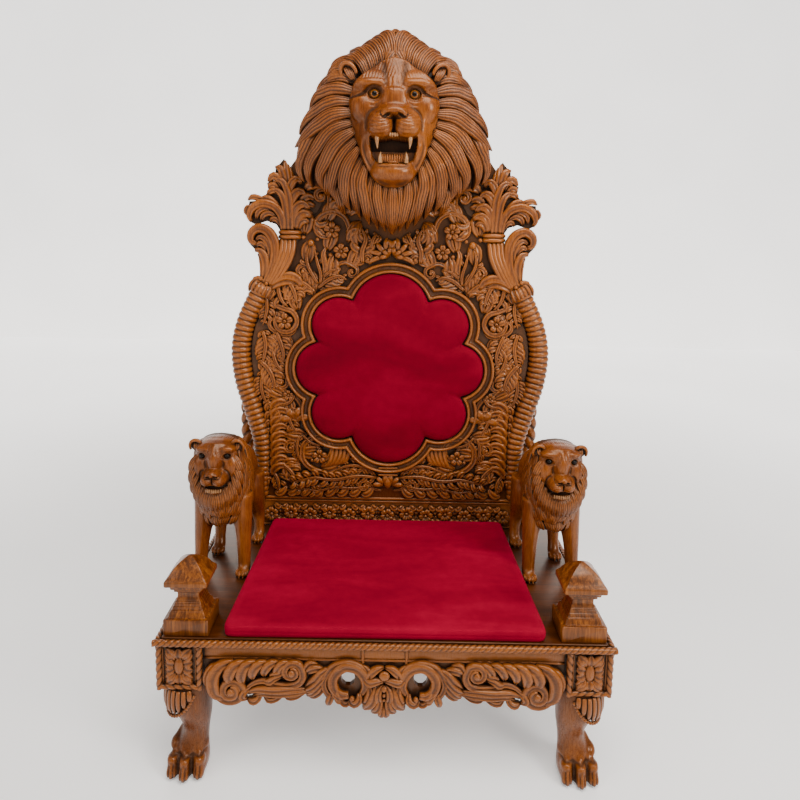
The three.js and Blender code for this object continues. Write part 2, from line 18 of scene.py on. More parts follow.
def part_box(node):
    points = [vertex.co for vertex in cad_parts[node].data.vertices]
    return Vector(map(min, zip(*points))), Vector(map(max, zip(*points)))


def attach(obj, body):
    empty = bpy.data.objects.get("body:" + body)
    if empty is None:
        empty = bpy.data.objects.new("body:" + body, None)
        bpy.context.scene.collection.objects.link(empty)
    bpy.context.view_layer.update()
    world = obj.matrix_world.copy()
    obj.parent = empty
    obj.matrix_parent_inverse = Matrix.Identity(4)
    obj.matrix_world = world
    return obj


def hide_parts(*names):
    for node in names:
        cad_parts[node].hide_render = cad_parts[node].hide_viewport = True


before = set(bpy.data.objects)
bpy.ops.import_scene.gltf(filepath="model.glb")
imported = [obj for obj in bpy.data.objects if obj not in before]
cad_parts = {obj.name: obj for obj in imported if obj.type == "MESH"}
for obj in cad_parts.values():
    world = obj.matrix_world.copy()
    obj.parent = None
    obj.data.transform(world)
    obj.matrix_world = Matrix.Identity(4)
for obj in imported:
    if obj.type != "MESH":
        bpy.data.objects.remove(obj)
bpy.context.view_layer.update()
bpy.ops.object.select_all(action="DESELECT")

LOG = logging.getLogger("throne")
MM = 0.001
ROOT = "root"
FACE_NORMAL = (0.0, -1.0, 0.0)
MIRROR = np.array([-1.0, 1.0, 1.0])
WOOD_TINT = (1.0, 0.74, 0.53, 1.0)
PILE_TINT = (1.0, 0.03, 0.12, 1.0)

Point = tuple[float, float, float]
Flat = tuple[float, float]


class Slot(Enum):
    """Material slots of the record."""

    CARVED = "carved_wood"
    DARK = "dark_wood"
    VELVET = "velvet"


class Side(Enum):
    """The two halves of the throne, with the sign of X on each."""

    RIGHT = 1
    LEFT = -1

    def of(self, kind: str) -> str:
        """The name of this side's piece of a kind."""
        return f"{self.name.lower()}_{kind}"


# ---- Curves and sections -------------------------------------------------------------------------
def spline(points: Sequence[Sequence[float]], count: int) -> np.ndarray:
    """Samples a smooth curve through points.

    Args:
        points: The points that the curve passes through, of any dimension.
        count: How many samples to return.

    Returns:
        An array of count samples.
    """
    p = np.asarray(points, dtype=float)
    if p.ndim == 1:
        return spline(p[:, None], count)[:, 0]
    padded = np.vstack([2 * p[0] - p[1], p, 2 * p[-1] - p[-2]])
    spans = len(p) - 1
    u = np.linspace(0, spans, count)
    i = np.minimum(u.astype(int), spans - 1)
    t = (u - i)[:, None]
    a, b, c, d = padded[i], padded[i + 1], padded[i + 2], padded[i + 3]
    return 0.5 * (2 * b + (c - a) * t + (2 * a - 5 * b + 4 * c - d) * t**2 + (3 * b - a - 3 * c + d) * t**3)


def even_spline(points: Sequence[Sequence[float]], count: int) -> np.ndarray:
    """Samples a smooth curve through points at even steps of length."""
    fine = spline(points, 8 * count)
    steps = np.linalg.norm(np.diff(fine, axis=0), axis=1)
    run = np.concatenate([[0], np.cumsum(steps)])
    want = np.linspace(0, run[-1], count)
    return np.stack([np.interp(want, run, fine[:, k]) for k in range(fine.shape[1])], axis=1)


def unit(vectors: np.ndarray) -> np.ndarray:
    """Vectors scaled to length one, along the last axis."""
    return vectors / np.maximum(np.linalg.norm(vectors, axis=-1, keepdims=True), 1e-9)


def bell(away: np.ndarray, width: float) -> np.ndarray:
    """A smooth hump: 1 where away is 0, and small beyond the width."""
    return np.exp(-((away / width) ** 2))


def frames(path: np.ndarray, up: np.ndarray) -> tuple[np.ndarray, np.ndarray]:
    """Side and upward directions along a path.

    Args:
        path: The points of the path.
        up: One upward direction, or one for each point.

    Returns:
        The side directions and the upward directions, square to the path.
    """
    along = unit(np.gradient(path, axis=0))
    side = unit(np.cross(along, np.broadcast_to(up, path.shape)))
    return side, np.cross(side, along)


# ---- Shells --------------------------------------------------------------------------------------
class Carving:
    """Gathers closed shells, in millimetres, and makes them one mesh object."""

    def __init__(self) -> None:
        """Starts with no shells."""
        self.verts: list[np.ndarray] = []
        self.faces: list[np.ndarray] = []
        self.recess: list[np.ndarray] = []
        self.total = 0

    def add(self, verts: np.ndarray, faces: np.ndarray, recess: np.ndarray) -> None:
        """Adds vertices, triangles and the share of shade that each vertex lies in."""
        self.verts.append(verts)
        self.faces.append(faces + self.total)
        self.recess.append(recess)
        self.total += len(verts)

    def shell(self, rings: np.ndarray, recess: np.ndarray | None = None, looped: bool = False) -> None:
        """Adds a skin through rings of points, closed at both ends, with its faces pointing out.

        Args:
            rings: An array of rows, points in a row, and 3 coordinates.
            recess: How deep in the carving each point lies, from 0 to 1.
            looped: Whether the last ring joins the first, in place of end caps.
        """
        rows, count, _ = rings.shape
        verts = rings.reshape(-1, 3)
        shade = np.zeros(rows * count) if recess is None else recess.reshape(-1)
        row = np.arange(rows if looped else rows - 1)[:, None]
        col = np.arange(count)[None, :]
        a = row * count + col
        b = row * count + (col + 1) % count
        c = ((row + 1) % rows) * count + (col + 1) % count
        d = ((row + 1) % rows) * count + col
        faces = [np.stack([a, b, c], -1).reshape(-1, 3), np.stack([a, c, d], -1).reshape(-1, 3)]
        if not looped:
            hubs = np.stack([rings[0].mean(axis=0), rings[-1].mean(axis=0)])
            verts = np.vstack([verts, hubs])
            shade = np.concatenate([shade, [shade[:count].mean(), shade[-count:].mean()]])
            i = np.arange(count)
            j = (i + 1) % count
            first = np.full(count, rows * count)
            top = (rows - 1) * count
            faces.append(np.stack([first, j, i], -1))
            faces.append(np.stack([first + 1, top + i, top + j], -1))
        triangles = np.vstack(faces)
        p, q, r = (verts[triangles[:, k]] for k in range(3))
        if np.einsum("ij,ij->i", p, np.cross(q, r)).sum() < 0:
            triangles = triangles[:, ::-1]
        self.add(verts, triangles, shade)

    def mirror(self) -> None:
        """Adds the mirror image, in the plane X = 0, of all that is there."""
        self.add(np.vstack(self.verts) * MIRROR, np.vstack(self.faces)[:, ::-1], np.concatenate(self.recess))

    def flip(self, side: Side) -> "Carving":
        """Turns what was built on the right into its mirror image where side is LEFT."""
        if side is Side.LEFT:
            self.verts = [v * MIRROR for v in self.verts]
            self.faces = [f[:, ::-1] for f in self.faces]
        return self

    def make(self, name: str) -> bpy.types.Object:
        """Makes the mesh object, with the attribute "recess" on its points, which the finishes turn into
        painted shade, and into a painted highlight on velvet.
        """
        mesh = bpy.data.meshes.new(name)
        verts = np.vstack(self.verts) * MM
        faces = np.vstack(self.faces)
        mesh.vertices.add(len(verts))
        mesh.vertices.foreach_set("co", verts.astype(np.float32).ravel())
        mesh.loops.add(faces.size)
        mesh.loops.foreach_set("vertex_index", faces.astype(np.int32).ravel())
        mesh.polygons.add(len(faces))
        mesh.polygons.foreach_set("loop_start", np.arange(0, faces.size, 3, dtype=np.int32))
        mesh.update(calc_edges=True)
        mesh.polygons.foreach_set("use_smooth", np.full(len(faces), True))
        layer = mesh.attributes.new("recess", "FLOAT", "POINT")
        layer.data.foreach_set("value", np.concatenate(self.recess).astype(np.float32))
        mesh.validate()
        obj = bpy.data.objects.new(name, mesh)
        bpy.context.collection.objects.link(obj)
        return obj


@dataclass(frozen=True)
class Blade:
    """A carved lobe, stem or lock of hair: a ribbon with a crowned, fluted face and a flat back."""

    width: float
    crown: float = 5.0
    thick: float = 8.0
    flutes: int = 3
    cut: float = 2.0
    shape: tuple[float, ...] = (0.35, 0.8, 1.0, 0.85, 0.12)
    samples: int = 14
    points: int = 4
    scooped: bool = False
    sharp: float = 0.75

    def section(self, s: np.ndarray) -> tuple[np.ndarray, np.ndarray]:
        """The height of the face across its width, and how deep each place lies in a groove."""
        dome = np.sqrt(np.clip(1 - s**2, 0, 1))
        if not self.scooped:
            ridge = np.abs(np.sin(np.pi * self.flutes * (s + 1) / 2)) ** self.sharp
            return self.crown * dome - self.cut * (1 - ridge) * (np.abs(s) < 0.999), (1 - ridge) ** 1.5
        rims = np.maximum(0.9 * bell(s - 0.6, 0.34), bell(s + 0.45, 0.46))
        rib = 0.9 * bell(s, 0.16) if self.flutes > 2 else np.zeros_like(s)
        raised = np.maximum(rims, rib)
        return (self.crown * (0.35 + 0.65 * raised) * np.minimum(1, dome * 1.7),
                np.clip(0.8 - raised, 0, 1) * 1.2 * (np.abs(s) < 0.85))

    def carve(self, carving: Carving, path: Sequence[Sequence[float]], up: Sequence[float] = FACE_NORMAL,
              even: bool = True) -> None:
        """Sweeps the blade along a path.

        Args:
            carving: The carving that takes the shell.
            path: Points that the middle of the face follows.
            up: The direction that the face looks in, or one for each sample.
            even: Whether the samples are spaced evenly.
        """
        line = (even_spline if even else spline)(path, self.samples)
        side, face = frames(line, np.asarray(up, dtype=float))
        share = np.clip(spline(self.shape, self.samples), 0.03, None)[:, None]
        count = 9 if self.scooped else self.points * self.flutes + 1
        s = np.linspace(-1, 1, count)[None, :]
        height, groove = self.section(s)
        height = share * height
        front = (line[:, None, :] + side[:, None, :] * (self.width * share * s)[..., None]
                 + face[:, None, :] * height[..., None])
        back_s = np.array([0.85, -0.85])[None, :]
        deep = -self.thick * (0.35 + 0.65 * share) * np.ones_like(back_s)
        back = (line[:, None, :] + side[:, None, :] * (self.width * share * back_s)[..., None]
                + face[:, None, :] * deep[..., None])
        shade = np.concatenate([np.broadcast_to(groove, height.shape),
                                np.ones(deep.shape)], axis=1)
        carving.shell(np.concatenate([front, back], axis=1), shade)


def round_bar(carving: Carving, path: np.ndarray, radius: np.ndarray, around: int,
              relief: Callable[[np.ndarray, np.ndarray], np.ndarray] | None = None,
              up: Sequence[float] = FACE_NORMAL) -> None:
    """Sweeps a round bar whose radius may change along and around it.

    Args:
        carving: The carving that takes the shell.
        path: The points of the bar's middle line.
        radius: The radius at each point.
        around: How many points go round the bar.
        relief: Gives the share of the radius from the distance along and the angle.
        up: A direction square to the path, from which angles are counted.
    """
    side, face = frames(path, np.asarray(up, dtype=float))
    run = np.concatenate([[0], np.cumsum(np.linalg.norm(np.diff(path, axis=0), axis=1))])
    angle = np.linspace(0, 2 * np.pi, around, endpoint=False)[None, :]
    share = np.ones((len(path), around)) if relief is None else relief(run[:, None], angle)
    reach = (radius[:, None] * share)[..., None]
    rings = (path[:, None, :] + side[:, None, :] * np.cos(angle)[..., None] * reach
             + face[:, None, :] * np.sin(angle)[..., None] * reach)
    low, high = share.min(), share.max()
    shade = (high - share) / max(high - low, 1e-6)
    carving.shell(rings, shade)


def rod(carving: Carving, start: Sequence[float], end: Sequence[float], radius: float, rows: int, around: int,
        relief: Callable[[np.ndarray, np.ndarray], np.ndarray] | None = None,
        up: Sequence[float] = (0, 0, 1)) -> None:
    """Adds a straight bar of one thickness, from its start to its end."""
    round_bar(carving, np.linspace(start, end, rows), np.full(rows, radius), around, relief, up)


@dataclass(frozen=True)
class Twist:
    """The strands of a carved rope."""

    strands: int = 3
    spacing: float = 23.7
    depth: float = 0.24

    def __call__(self, run: np.ndarray, angle: np.ndarray) -> np.ndarray:
        """Share of the radius at a distance along the rope and an angle round it."""
        phase = self.strands * (angle - 2 * np.pi * run / (self.strands * self.spacing))
        return 1 - self.depth * (1 - np.abs(np.sin(phase / 2)) ** 0.7)


@dataclass(frozen=True)
class Reeds:
    """Rounded rings, one after another along a bar."""

    pitch: float = 18.5
    depth: float = 0.16

    def __call__(self, run: np.ndarray, angle: np.ndarray) -> np.ndarray:
        """Share of the radius at a distance along the bar."""
        wave = np.abs(np.sin(np.pi * run / self.pitch)) ** 0.6
        return 1 - self.depth * (1 - wave) * np.ones_like(angle)


def ball(carving: Carving, centre: Sequence[float], radii: Sequence[float], around: int = 12, up: int = 8,
         shade: float = 0.0) -> None:
    """Adds an ellipsoid."""
    lat = np.linspace(-np.pi / 2, np.pi / 2, up + 1)[1:-1]
    lon = np.linspace(0, 2 * np.pi, around, endpoint=False)
    ring = np.stack([np.cos(lat)[:, None] * np.cos(lon), np.cos(lat)[:, None] * np.sin(lon),
                     np.sin(lat)[:, None] * np.ones_like(lon)], -1)
    cap = np.array([[0, 0, -1.0], [0, 0, 1.0]])
    rings = np.concatenate([cap[0] + 0.02 * ring[:1], ring, cap[1] + 0.02 * ring[-1:]])
    points = rings * np.asarray(radii, dtype=float) + np.asarray(centre, dtype=float)
    carving.shell(points, np.full(points.shape[:2], shade))


def flower(carving: Carving, centre: Point, radius: float, petals: int = 5, turn: float = 0.3) -> None:
    """Adds an open flower that faces forward, with cupped petals round a ringed boss."""
    x, y, z = centre
    petal = Blade(radius * 0.42, crown=radius * 0.2, thick=radius * 0.4, flutes=2, cut=radius * 0.05,
                  shape=(0.45, 0.8, 1.0, 1.0, 0.5), samples=7, points=4)
    for k in range(petals):
        angle = turn + 2 * np.pi * k / petals
        reach = [0.18, 0.5, 0.85, 1.0]
        rise = [0.05, 0.24, 0.3, 0.12]
        petal.carve(carving, [(x + radius * r * np.cos(angle), y - radius * h, z + radius * r * np.sin(angle))
                              for r, h in zip(reach, rise)])
    ball(carving, (x, y - radius * 0.28, z), (radius * 0.24, radius * 0.2, radius * 0.24), 10, 6)
    # A small bead at the middle of the boss, in painted shade, for the drilled hole.
    ball(carving, (x, y - radius * 0.46, z), (radius * 0.1, radius * 0.08, radius * 0.1), 8, 4, 0.9)


# ---- Modelling steps -----------------------------------------------------------------------------
def activate(obj: bpy.types.Object) -> None:
    """Makes an object the only selected one and the active one."""
    bpy.ops.object.select_all(action="DESELECT")
    obj.select_set(True)
    bpy.context.view_layer.objects.active = obj


def apply_modifier(obj: bpy.types.Object, kind: str, **settings: object) -> None:
    """Adds a modifier with the given settings and applies it."""
    activate(obj)
    modifier = obj.modifiers.new(kind.lower(), kind)
    for key, value in settings.items():
        setattr(modifier, key, value)
    bpy.ops.object.modifier_apply(modifier=modifier.name)


def smooth_by_angle(obj: bpy.types.Object, degrees: float) -> None:
    """Shades an object smooth, with its sharper edges left crisp."""
    activate(obj)
    bpy.ops.object.shade_smooth_by_angle(angle=math.radians(degrees))


def settle(obj: bpy.types.Object) -> None:
    """Applies an object's place, turn and size, so that they are in its mesh."""
    activate(obj)
    bpy.ops.object.transform_apply(location=True, rotation=True, scale=True)


def block(name: str, low: Sequence[float], high: Sequence[float], bevel: float = 1.5) -> bpy.types.Object:
    """Adds a box between two corners in millimetres, with rounded edges."""
    centre = [(a + b) / 2 * MM for a, b in zip(low, high)]
    bpy.ops.mesh.primitive_cube_add(size=1, location=centre)
    obj = bpy.context.object
    obj.name = name
    obj.scale = [(b - a) * MM for a, b in zip(low, high)]
    settle(obj)
    apply_modifier(obj, "BEVEL", width=bevel * MM, segments=3, limit_method="NONE")
    smooth_by_angle(obj, 35)
    return obj


def joined(name: str, objects: Sequence[bpy.types.Object]) -> bpy.types.Object:
    """Joins objects into the first of them and names it."""
    bpy.ops.object.select_all(action="DESELECT")
    for obj in objects:
        obj.select_set(True)
    bpy.context.view_layer.objects.active = objects[0]
    bpy.ops.object.join()
    objects[0].name = name
    return objects[0]


def fuse(obj: bpy.types.Object, voxel: float, smooth: int) -> bpy.types.Object:
    """Fuses overlapping shells into one skin.

    Args:
        obj: The object to fuse.
        voxel: The size of the remesh grid in millimetres.
        smooth: How many times the skin is relaxed.

    Returns:
        The same object.
    """
    apply_modifier(obj, "REMESH", mode="VOXEL", voxel_size=voxel * MM, use_smooth_shade=True)
    apply_modifier(obj, "SMOOTH", factor=0.5, iterations=smooth)
    return obj


def positions(obj: bpy.types.Object) -> np.ndarray:
    """The vertices of a mesh object in millimetres."""
    co = np.empty(len(obj.data.vertices) * 3, dtype=np.float32)
    obj.data.vertices.foreach_get("co", co)
    return co.reshape(-1, 3).astype(float) / MM


def normals(obj: bpy.types.Object) -> np.ndarray:
    """The vertex normals of a mesh object."""
    no = np.empty(len(obj.data.vertices) * 3, dtype=np.float32)
    obj.data.vertex_normals.foreach_get("vector", no)
    return no.reshape(-1, 3).astype(float)


def reshape(obj: bpy.types.Object, co: np.ndarray, recess: np.ndarray | None = None) -> None:
    """Moves the vertices of a mesh object, and stores how deep in the carving each lies."""
    obj.data.vertices.foreach_set("co", (co * MM).astype(np.float32).ravel())
    obj.data.update()
    if recess is not None:
        layer = obj.data.attributes.get("recess") or obj.data.attributes.new("recess", "FLOAT", "POINT")
        layer.data.foreach_set("value", np.clip(recess, 0, 1).astype(np.float32))


def dressed(obj: bpy.types.Object, material: bpy.types.Material) -> bpy.types.Object:
    """Gives an object one finish, and returns it."""
    obj.data.materials.clear()
    obj.data.materials.append(material)
    return obj


def tie(obj: bpy.types.Object, node: str) -> None:
    """Ties a piece to the throne's body and lets it stand for its CAD node."""
    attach(obj, ROOT)
    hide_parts(node)
    LOG.info("%s: %d triangles", obj.name, sum(len(p.vertices) - 2 for p in obj.data.polygons))


def mirrored_copy(obj: bpy.types.Object, name: str, signs: Point) -> bpy.types.Object:
    """A copy of an object, mirrored along the axes whose sign is -1."""
    mesh = obj.data.copy()
    copy = bpy.data.objects.new(name, mesh)
    bpy.context.collection.objects.link(copy)
    mesh.transform(Matrix.Diagonal((*signs, 1.0)))
    if signs[0] * signs[1] * signs[2] < 0:
        mesh.flip_normals()
    return copy


def tie_pair(right: bpy.types.Object, kind: str) -> None:
    """Ties a right-hand carving, and the mirror image of it that it makes for the left."""
    left = mirrored_copy(right, f"left_{kind}_carved", (-1.0, 1.0, 1.0))
    tie(right, "right_" + kind)
    tie(left, "left_" + kind)


# ---- Finishes ------------------------------------------------------------------------------------
Value = "Socket | float"


class Socket:
    """A shader socket, or a number, that works in expressions."""

    def __init__(self, shader: "Shader", out: bpy.types.NodeSocket) -> None:
        """Keeps the socket and the shader that it belongs to."""
        self.shader = shader
        self.out = out

    def calc(self, operation: str, *values: Value) -> "Socket":
        """Adds a Math node that works on the values."""
        return self.shader.node("ShaderNodeMath", {"operation": operation}, dict(enumerate(values)))

    def __add__(self, other: Value) -> "Socket":
        """Sum."""
        return self.calc("ADD", self, other)

    def __sub__(self, other: Value) -> "Socket":
        """Difference."""
        return self.calc("SUBTRACT", self, other)

    def __mul__(self, other: Value) -> "Socket":
        """Product."""
        return self.calc("MULTIPLY", self, other)

    def __truediv__(self, other: Value) -> "Socket":
        """Quotient."""
        return self.calc("DIVIDE", self, other)

    __radd__ = __add__

    def clamped(self) -> "Socket":
        """The value kept between 0 and 1."""
        return self.shader.node("ShaderNodeClamp", {}, {"Value": self})


class Shader:
    """A node material and the ways to add to it."""

    def __init__(self, name: str) -> None:
        """Starts a material with one Principled shader."""
        self.material = bpy.data.materials.new(name)
        self.material.use_nodes = True
        self.tree = self.material.node_tree
        self.surface = self.tree.nodes["Principled BSDF"]
        self.place = self.node("ShaderNodeTexCoord", {}, {}, "Object")

    def node(self, kind: str, settings: dict, values: dict, output: str | int = 0) -> Socket:
        """Adds a node.

        Args:
            kind: The node's type.
            settings: Its own settings, such as an operation; "stops" fills a colour ramp.
            values: The values or links of its inputs, by name or number.
            output: Which of its outputs is returned.

        Returns:
            The output, ready for expressions.
        """
        node = self.tree.nodes.new(kind)
        for key, value in settings.items():
            if key == "stops":
                self._fill(node.color_ramp, value)
            else:
                setattr(node, key, value)
        for key, value in values.items():
            self.feed(node.inputs[key], value)
        return Socket(self, node.outputs[output])

    def _fill(self, ramp: bpy.types.ColorRamp, stops: Sequence[tuple[float, tuple]]) -> None:
        """Gives a colour ramp its stops."""
        while len(ramp.elements) < len(stops):
            ramp.elements.new(1.0)
        for element, (place, colour) in zip(ramp.elements, stops):
            element.position = place
            element.color = (*colour, 1.0)

    def feed(self, target: bpy.types.NodeSocket, value: object) -> None:
        """Links or sets an input."""
        if isinstance(value, Socket):
            self.tree.links.new(value.out, target)
        elif isinstance(value, tuple) and len(value) == 3 and target.type == "RGBA":
            target.default_value = (*value, 1.0)
        else:
            target.default_value = value

    def set(self, **values: object) -> None:
        """Sets or links inputs of the Principled shader, with spaces written as underscores."""
        for key, value in values.items():
            self.feed(self.surface.inputs[key.replace("_", " ")], value)

    def scaled(self, scale: Point) -> Socket:
        """Object coordinates, scaled."""
        return self.node("ShaderNodeMapping", {}, {"Vector": self.place, "Scale": scale})

    def noise(self, where: Socket, scale: float, detail: float = 3.0, rough: float = 0.5,
              bend: float = 0.0) -> Socket:
        """A noise between 0 and 1."""
        return self.node("ShaderNodeTexNoise", {}, {"Vector": where, "Scale": scale, "Detail": detail,
                                                   "Roughness": rough, "Distortion": bend})

    def ramp(self, value: Socket, *stops: tuple[float, tuple]) -> Socket:
        """A colour from a value."""
        return self.node("ShaderNodeValToRGB", {"stops": stops}, {"Fac": value})

    def span(self, value: Socket, low: float, high: float) -> Socket:
        """A value stretched so that low becomes 0 and high becomes 1."""
        return self.node("ShaderNodeMapRange", {"interpolation_type": "SMOOTHSTEP"},
                         {"Value": value, "From Min": low, "From Max": high})

    def blend(self, share: Value, first: object, second: object) -> Socket:
        """A mix of two colours."""
        return self.node("ShaderNodeMix", {"data_type": "RGBA"}, {0: share, 6: first, 7: second}, 2)

    def bump(self, height: Socket, strength: float, distance: float) -> None:
        """Feeds the surface's normal with a height."""
        self.set(Normal=self.node("ShaderNodeBump", {}, {"Height": height, "Strength": strength,
                                                         "Distance": distance}))


@dataclass(frozen=True)
class CarvedWood:
    """Varnished carved teak with fine upright grain, with painted shade in the recesses and towards the
    floor, and painted highlights on its sharp edges.
    """

    name: str = "carved varnished teak"
    deep: Point = (0.0100, 0.0018, 0.0001)
    dark: Point = (0.060, 0.0130, 0.0013)
    mid: Point = (0.122, 0.0272, 0.0020)
    pale: Point = (0.285, 0.080, 0.0095)
    grain: Point = (1.0, 1.0, 0.09)
    shade_reach: float = 0.026
    # How strongly the painted shade darkens the wood.
    painted_shade_strength: float = 1.0
    gloss: float = 0.1

    def make(self) -> bpy.types.Material:
        """Makes the material."""
        s = Shader(self.name)
        along = s.scaled(self.grain)
        drift = s.noise(s.place, 5.0, 3.0)
        streak = s.noise(along, 230.0, 4.0, 0.62, 0.4)
        pores = s.noise(s.scaled((1.0, 1.0, 0.05)), 900.0, 2.0)
        tone = s.span(streak * 0.6 + drift * 0.55, 0.34, 0.80)
        # Painted shade: the colour darkens towards the floor, from 1.1 m down.
        height = s.node("ShaderNodeSeparateXYZ", {}, {"Vector": s.place}, "Z")
        clean = s.ramp(tone, (0.0, self.dark), (0.42, self.mid), (1.0, self.pale))
        base = s.blend(s.span(height, 1.1, 0.2) * 0.28, clean, self.dark)
        # Painted shade: darker where the recess attribute marks a point deep in the carving, and where
        # ambient occlusion finds it closed in.
        carved = s.node("ShaderNodeAttribute", {"attribute_name": "recess"}, {}, "Fac")
        hidden = s.node("ShaderNodeAmbientOcclusion", {"samples": 5}, {"Distance": self.shade_reach}, "AO")
        shade = (s.span(hidden, 0.92, 0.34) * 0.9 + s.span(carved, 0.1, 0.9) * 0.72).clamped()
        # Painted highlight: sharp edges, found by pointiness, are lightened towards the pale colour.
        edge = s.node("ShaderNodeNewGeometry", {}, {}, "Pointiness")
        lit = s.span(edge, 0.503, 0.55) * 0.5
        warm = s.blend(lit, base, self.pale)
        s.set(Base_Color=s.blend(shade * self.painted_shade_strength, warm, self.deep))
        s.set(Roughness=(0.22 + pores * 0.12 + shade * 0.45).clamped())
        s.set(Coat_Weight=self.gloss, Coat_Roughness=0.14, Specular_IOR_Level=0.36 + self.gloss)
        s.surface.inputs["Specular Tint"].default_value = WOOD_TINT
        s.bump(streak * 0.5 + pores * 0.5, 0.22, 0.0006)
        return s.material


@dataclass(frozen=True)
class DarkWood:
    """Dark varnished teak with broad grain figure, as on the deck and the pedestals, with painted shade where
    ambient occlusion finds it closed in and painted highlights on sharp edges.
    """

    name: str = "dark varnished teak"
    dark: Point = (0.042, 0.0088, 0.0007)
    mid: Point = (0.125, 0.031, 0.0030)
    pale: Point = (0.25, 0.076, 0.0095)
    grain: Point = (1.0, 1.0, 0.07)
    gloss: float = 0.2

    def make(self) -> bpy.types.Material:
        """Makes the material."""
        s = Shader(self.name)
        along = s.scaled(self.grain)
        rings = s.noise(along, 26.0, 5.0, 0.6, 1.2)
        streak = s.noise(along, 190.0, 5.0, 0.68, 0.5)
        pores = s.noise(along, 700.0, 2.0)
        tone = s.span(rings * 0.45 + streak * 0.55, 0.38, 0.64)
        base = s.ramp(tone, (0.0, self.dark), (0.5, self.mid), (1.0, self.pale))
        # Painted shade: darker where ambient occlusion finds the surface closed in.
        hidden = s.node("ShaderNodeAmbientOcclusion", {"samples": 4}, {"Distance": 0.03}, "AO")
        # Painted highlight: sharp edges, found by pointiness, are lightened towards the pale colour.
        edge = s.node("ShaderNodeNewGeometry", {}, {}, "Pointiness")
        lit_edges = s.blend(s.span(edge, 0.51, 0.60) * 0.5, base, self.pale)
        s.set(Base_Color=s.blend(s.span(hidden, 0.8, 0.2) * 0.7, lit_edges, self.dark))
        s.set(Roughness=(0.24 + pores * 0.2).clamped())
        s.set(Coat_Weight=self.gloss, Coat_Roughness=0.16, Specular_IOR_Level=0.4)
        s.surface.inputs["Specular Tint"].default_value = WOOD_TINT
        s.bump(streak * 0.6 + pores * 0.4, 0.2, 0.0007)
        return s.material


@dataclass(frozen=True)
class Velvet:
    """Crimson cotton velvet: a short dense pile, brushed here and there, with a sheen and a painted highlight
    along the rims that the recess attribute marks.
    """

    name: str = "crimson velvet"
    deep: Point = (0.125, 0.0001, 0.0080)
    mid: Point = (0.215, 0.0001, 0.0140)
    bright: Point = (0.33, 0.0003, 0.0260)

    def make(self) -> bpy.types.Material:
        """Makes the material."""
        s = Shader(self.name)
        brushed = s.noise(s.scaled((0.45, 1.3, 1.0)), 6.0, 4.0, 0.5, 0.8)
        patch = s.noise(s.place, 32.0, 3.0, 0.6)
        pile = s.noise(s.place, 1500.0, 2.0, 0.7)
        rows = s.noise(s.scaled((1.0, 1.0, 1.0)), 420.0, 2.0)
        nap = s.span(brushed * 0.5 + patch * 0.15 + pile * 0.35, 0.18, 0.80)
        # Painted highlight: where the recess attribute is set, along the cushions' rims, the colour lightens
        # towards the bright one.
        rim = s.node("ShaderNodeAttribute", {"attribute_name": "recess"}, {}, "Fac")
        base = s.ramp(nap, (0.0, self.deep), (0.5, self.mid), (1.0, self.bright))
        s.set(Base_Color=s.blend(s.span(rim, 0.0, 1.0) * 0.35, base, self.bright))
        s.set(Roughness=(0.78 + pile * 0.16).clamped())
        s.set(Sheen_Weight=0.09, Sheen_Roughness=0.4, Specular_IOR_Level=0.06)
        s.surface.inputs["Sheen Tint"].default_value = PILE_TINT
        s.bump(pile * 0.55 + rows * 0.45, 0.35, 0.0006)
        return s.material


@dataclass(frozen=True)
class GlassEye:
    """A polished eye that looks forward: black pupil, coloured iris and a dark rim."""

    name: str
    across: float
    height: float
    pupil: float
    iris: float
    colour: Point = (0.20, 0.062, 0.008)
    white: Point = (0.10, 0.034, 0.008)

    def make(self) -> bpy.types.Material:
        """Makes the material, with its circles centred on the eyes at plus and minus `across`."""
        s = Shader(self.name)
        parts = s.tree.nodes.new("ShaderNodeSeparateXYZ")
        s.feed(parts.inputs[0], s.place)
        x, z = Socket(s, parts.outputs[0]), Socket(s, parts.outputs[2])
        dx = x.calc("ABSOLUTE", x) - self.across * MM
        dz = z - self.height * MM
        reach = x.calc("SQRT", dx * dx + dz * dz) / MM
        fibre = s.noise(s.place, 700.0, 2.0)
        ring = s.ramp(reach / (2 * self.iris) + (fibre - 0.5) * 0.03,
                      (0.0, (0.004, 0.003, 0.002)), (self.pupil / (2 * self.iris), (0.006, 0.004, 0.003)),
                      (self.pupil / (2 * self.iris) + 0.04, self.colour), (0.43, self.colour),
                      (0.49, (0.02, 0.008, 0.003)), (0.56, self.white))
        s.set(Base_Color=ring)
        s.set(Roughness=0.12, Specular_IOR_Level=0.14)
        return s.material


@dataclass(frozen=True)
class Plain:
    """A quiet finish with a little mottling, for teeth and beads."""

    name: str
    colour: Point
    spot: Point
    rough: float
    shine: float = 0.5

    def make(self) -> bpy.types.Material:
        """Makes the material."""
        s = Shader(self.name)
        mottle = s.noise(s.scaled((1.0, 1.0, 0.3)), 240.0, 3.0)
        s.set(Base_Color=s.ramp(s.span(mottle, 0.3, 0.7), (0.0, self.colour), (1.0, self.spot)))
        s.set(Roughness=(self.rough + mottle * 0.15).clamped(), Specular_IOR_Level=self.shine)
        s.bump(mottle, 0.15, 0.0005)
        return s.material


def made(finish: CarvedWood | DarkWood | Velvet | GlassEye | Plain) -> bpy.types.Material:
    """A field that makes its material when the finishes are first asked for."""
    return field(default_factory=finish.make)


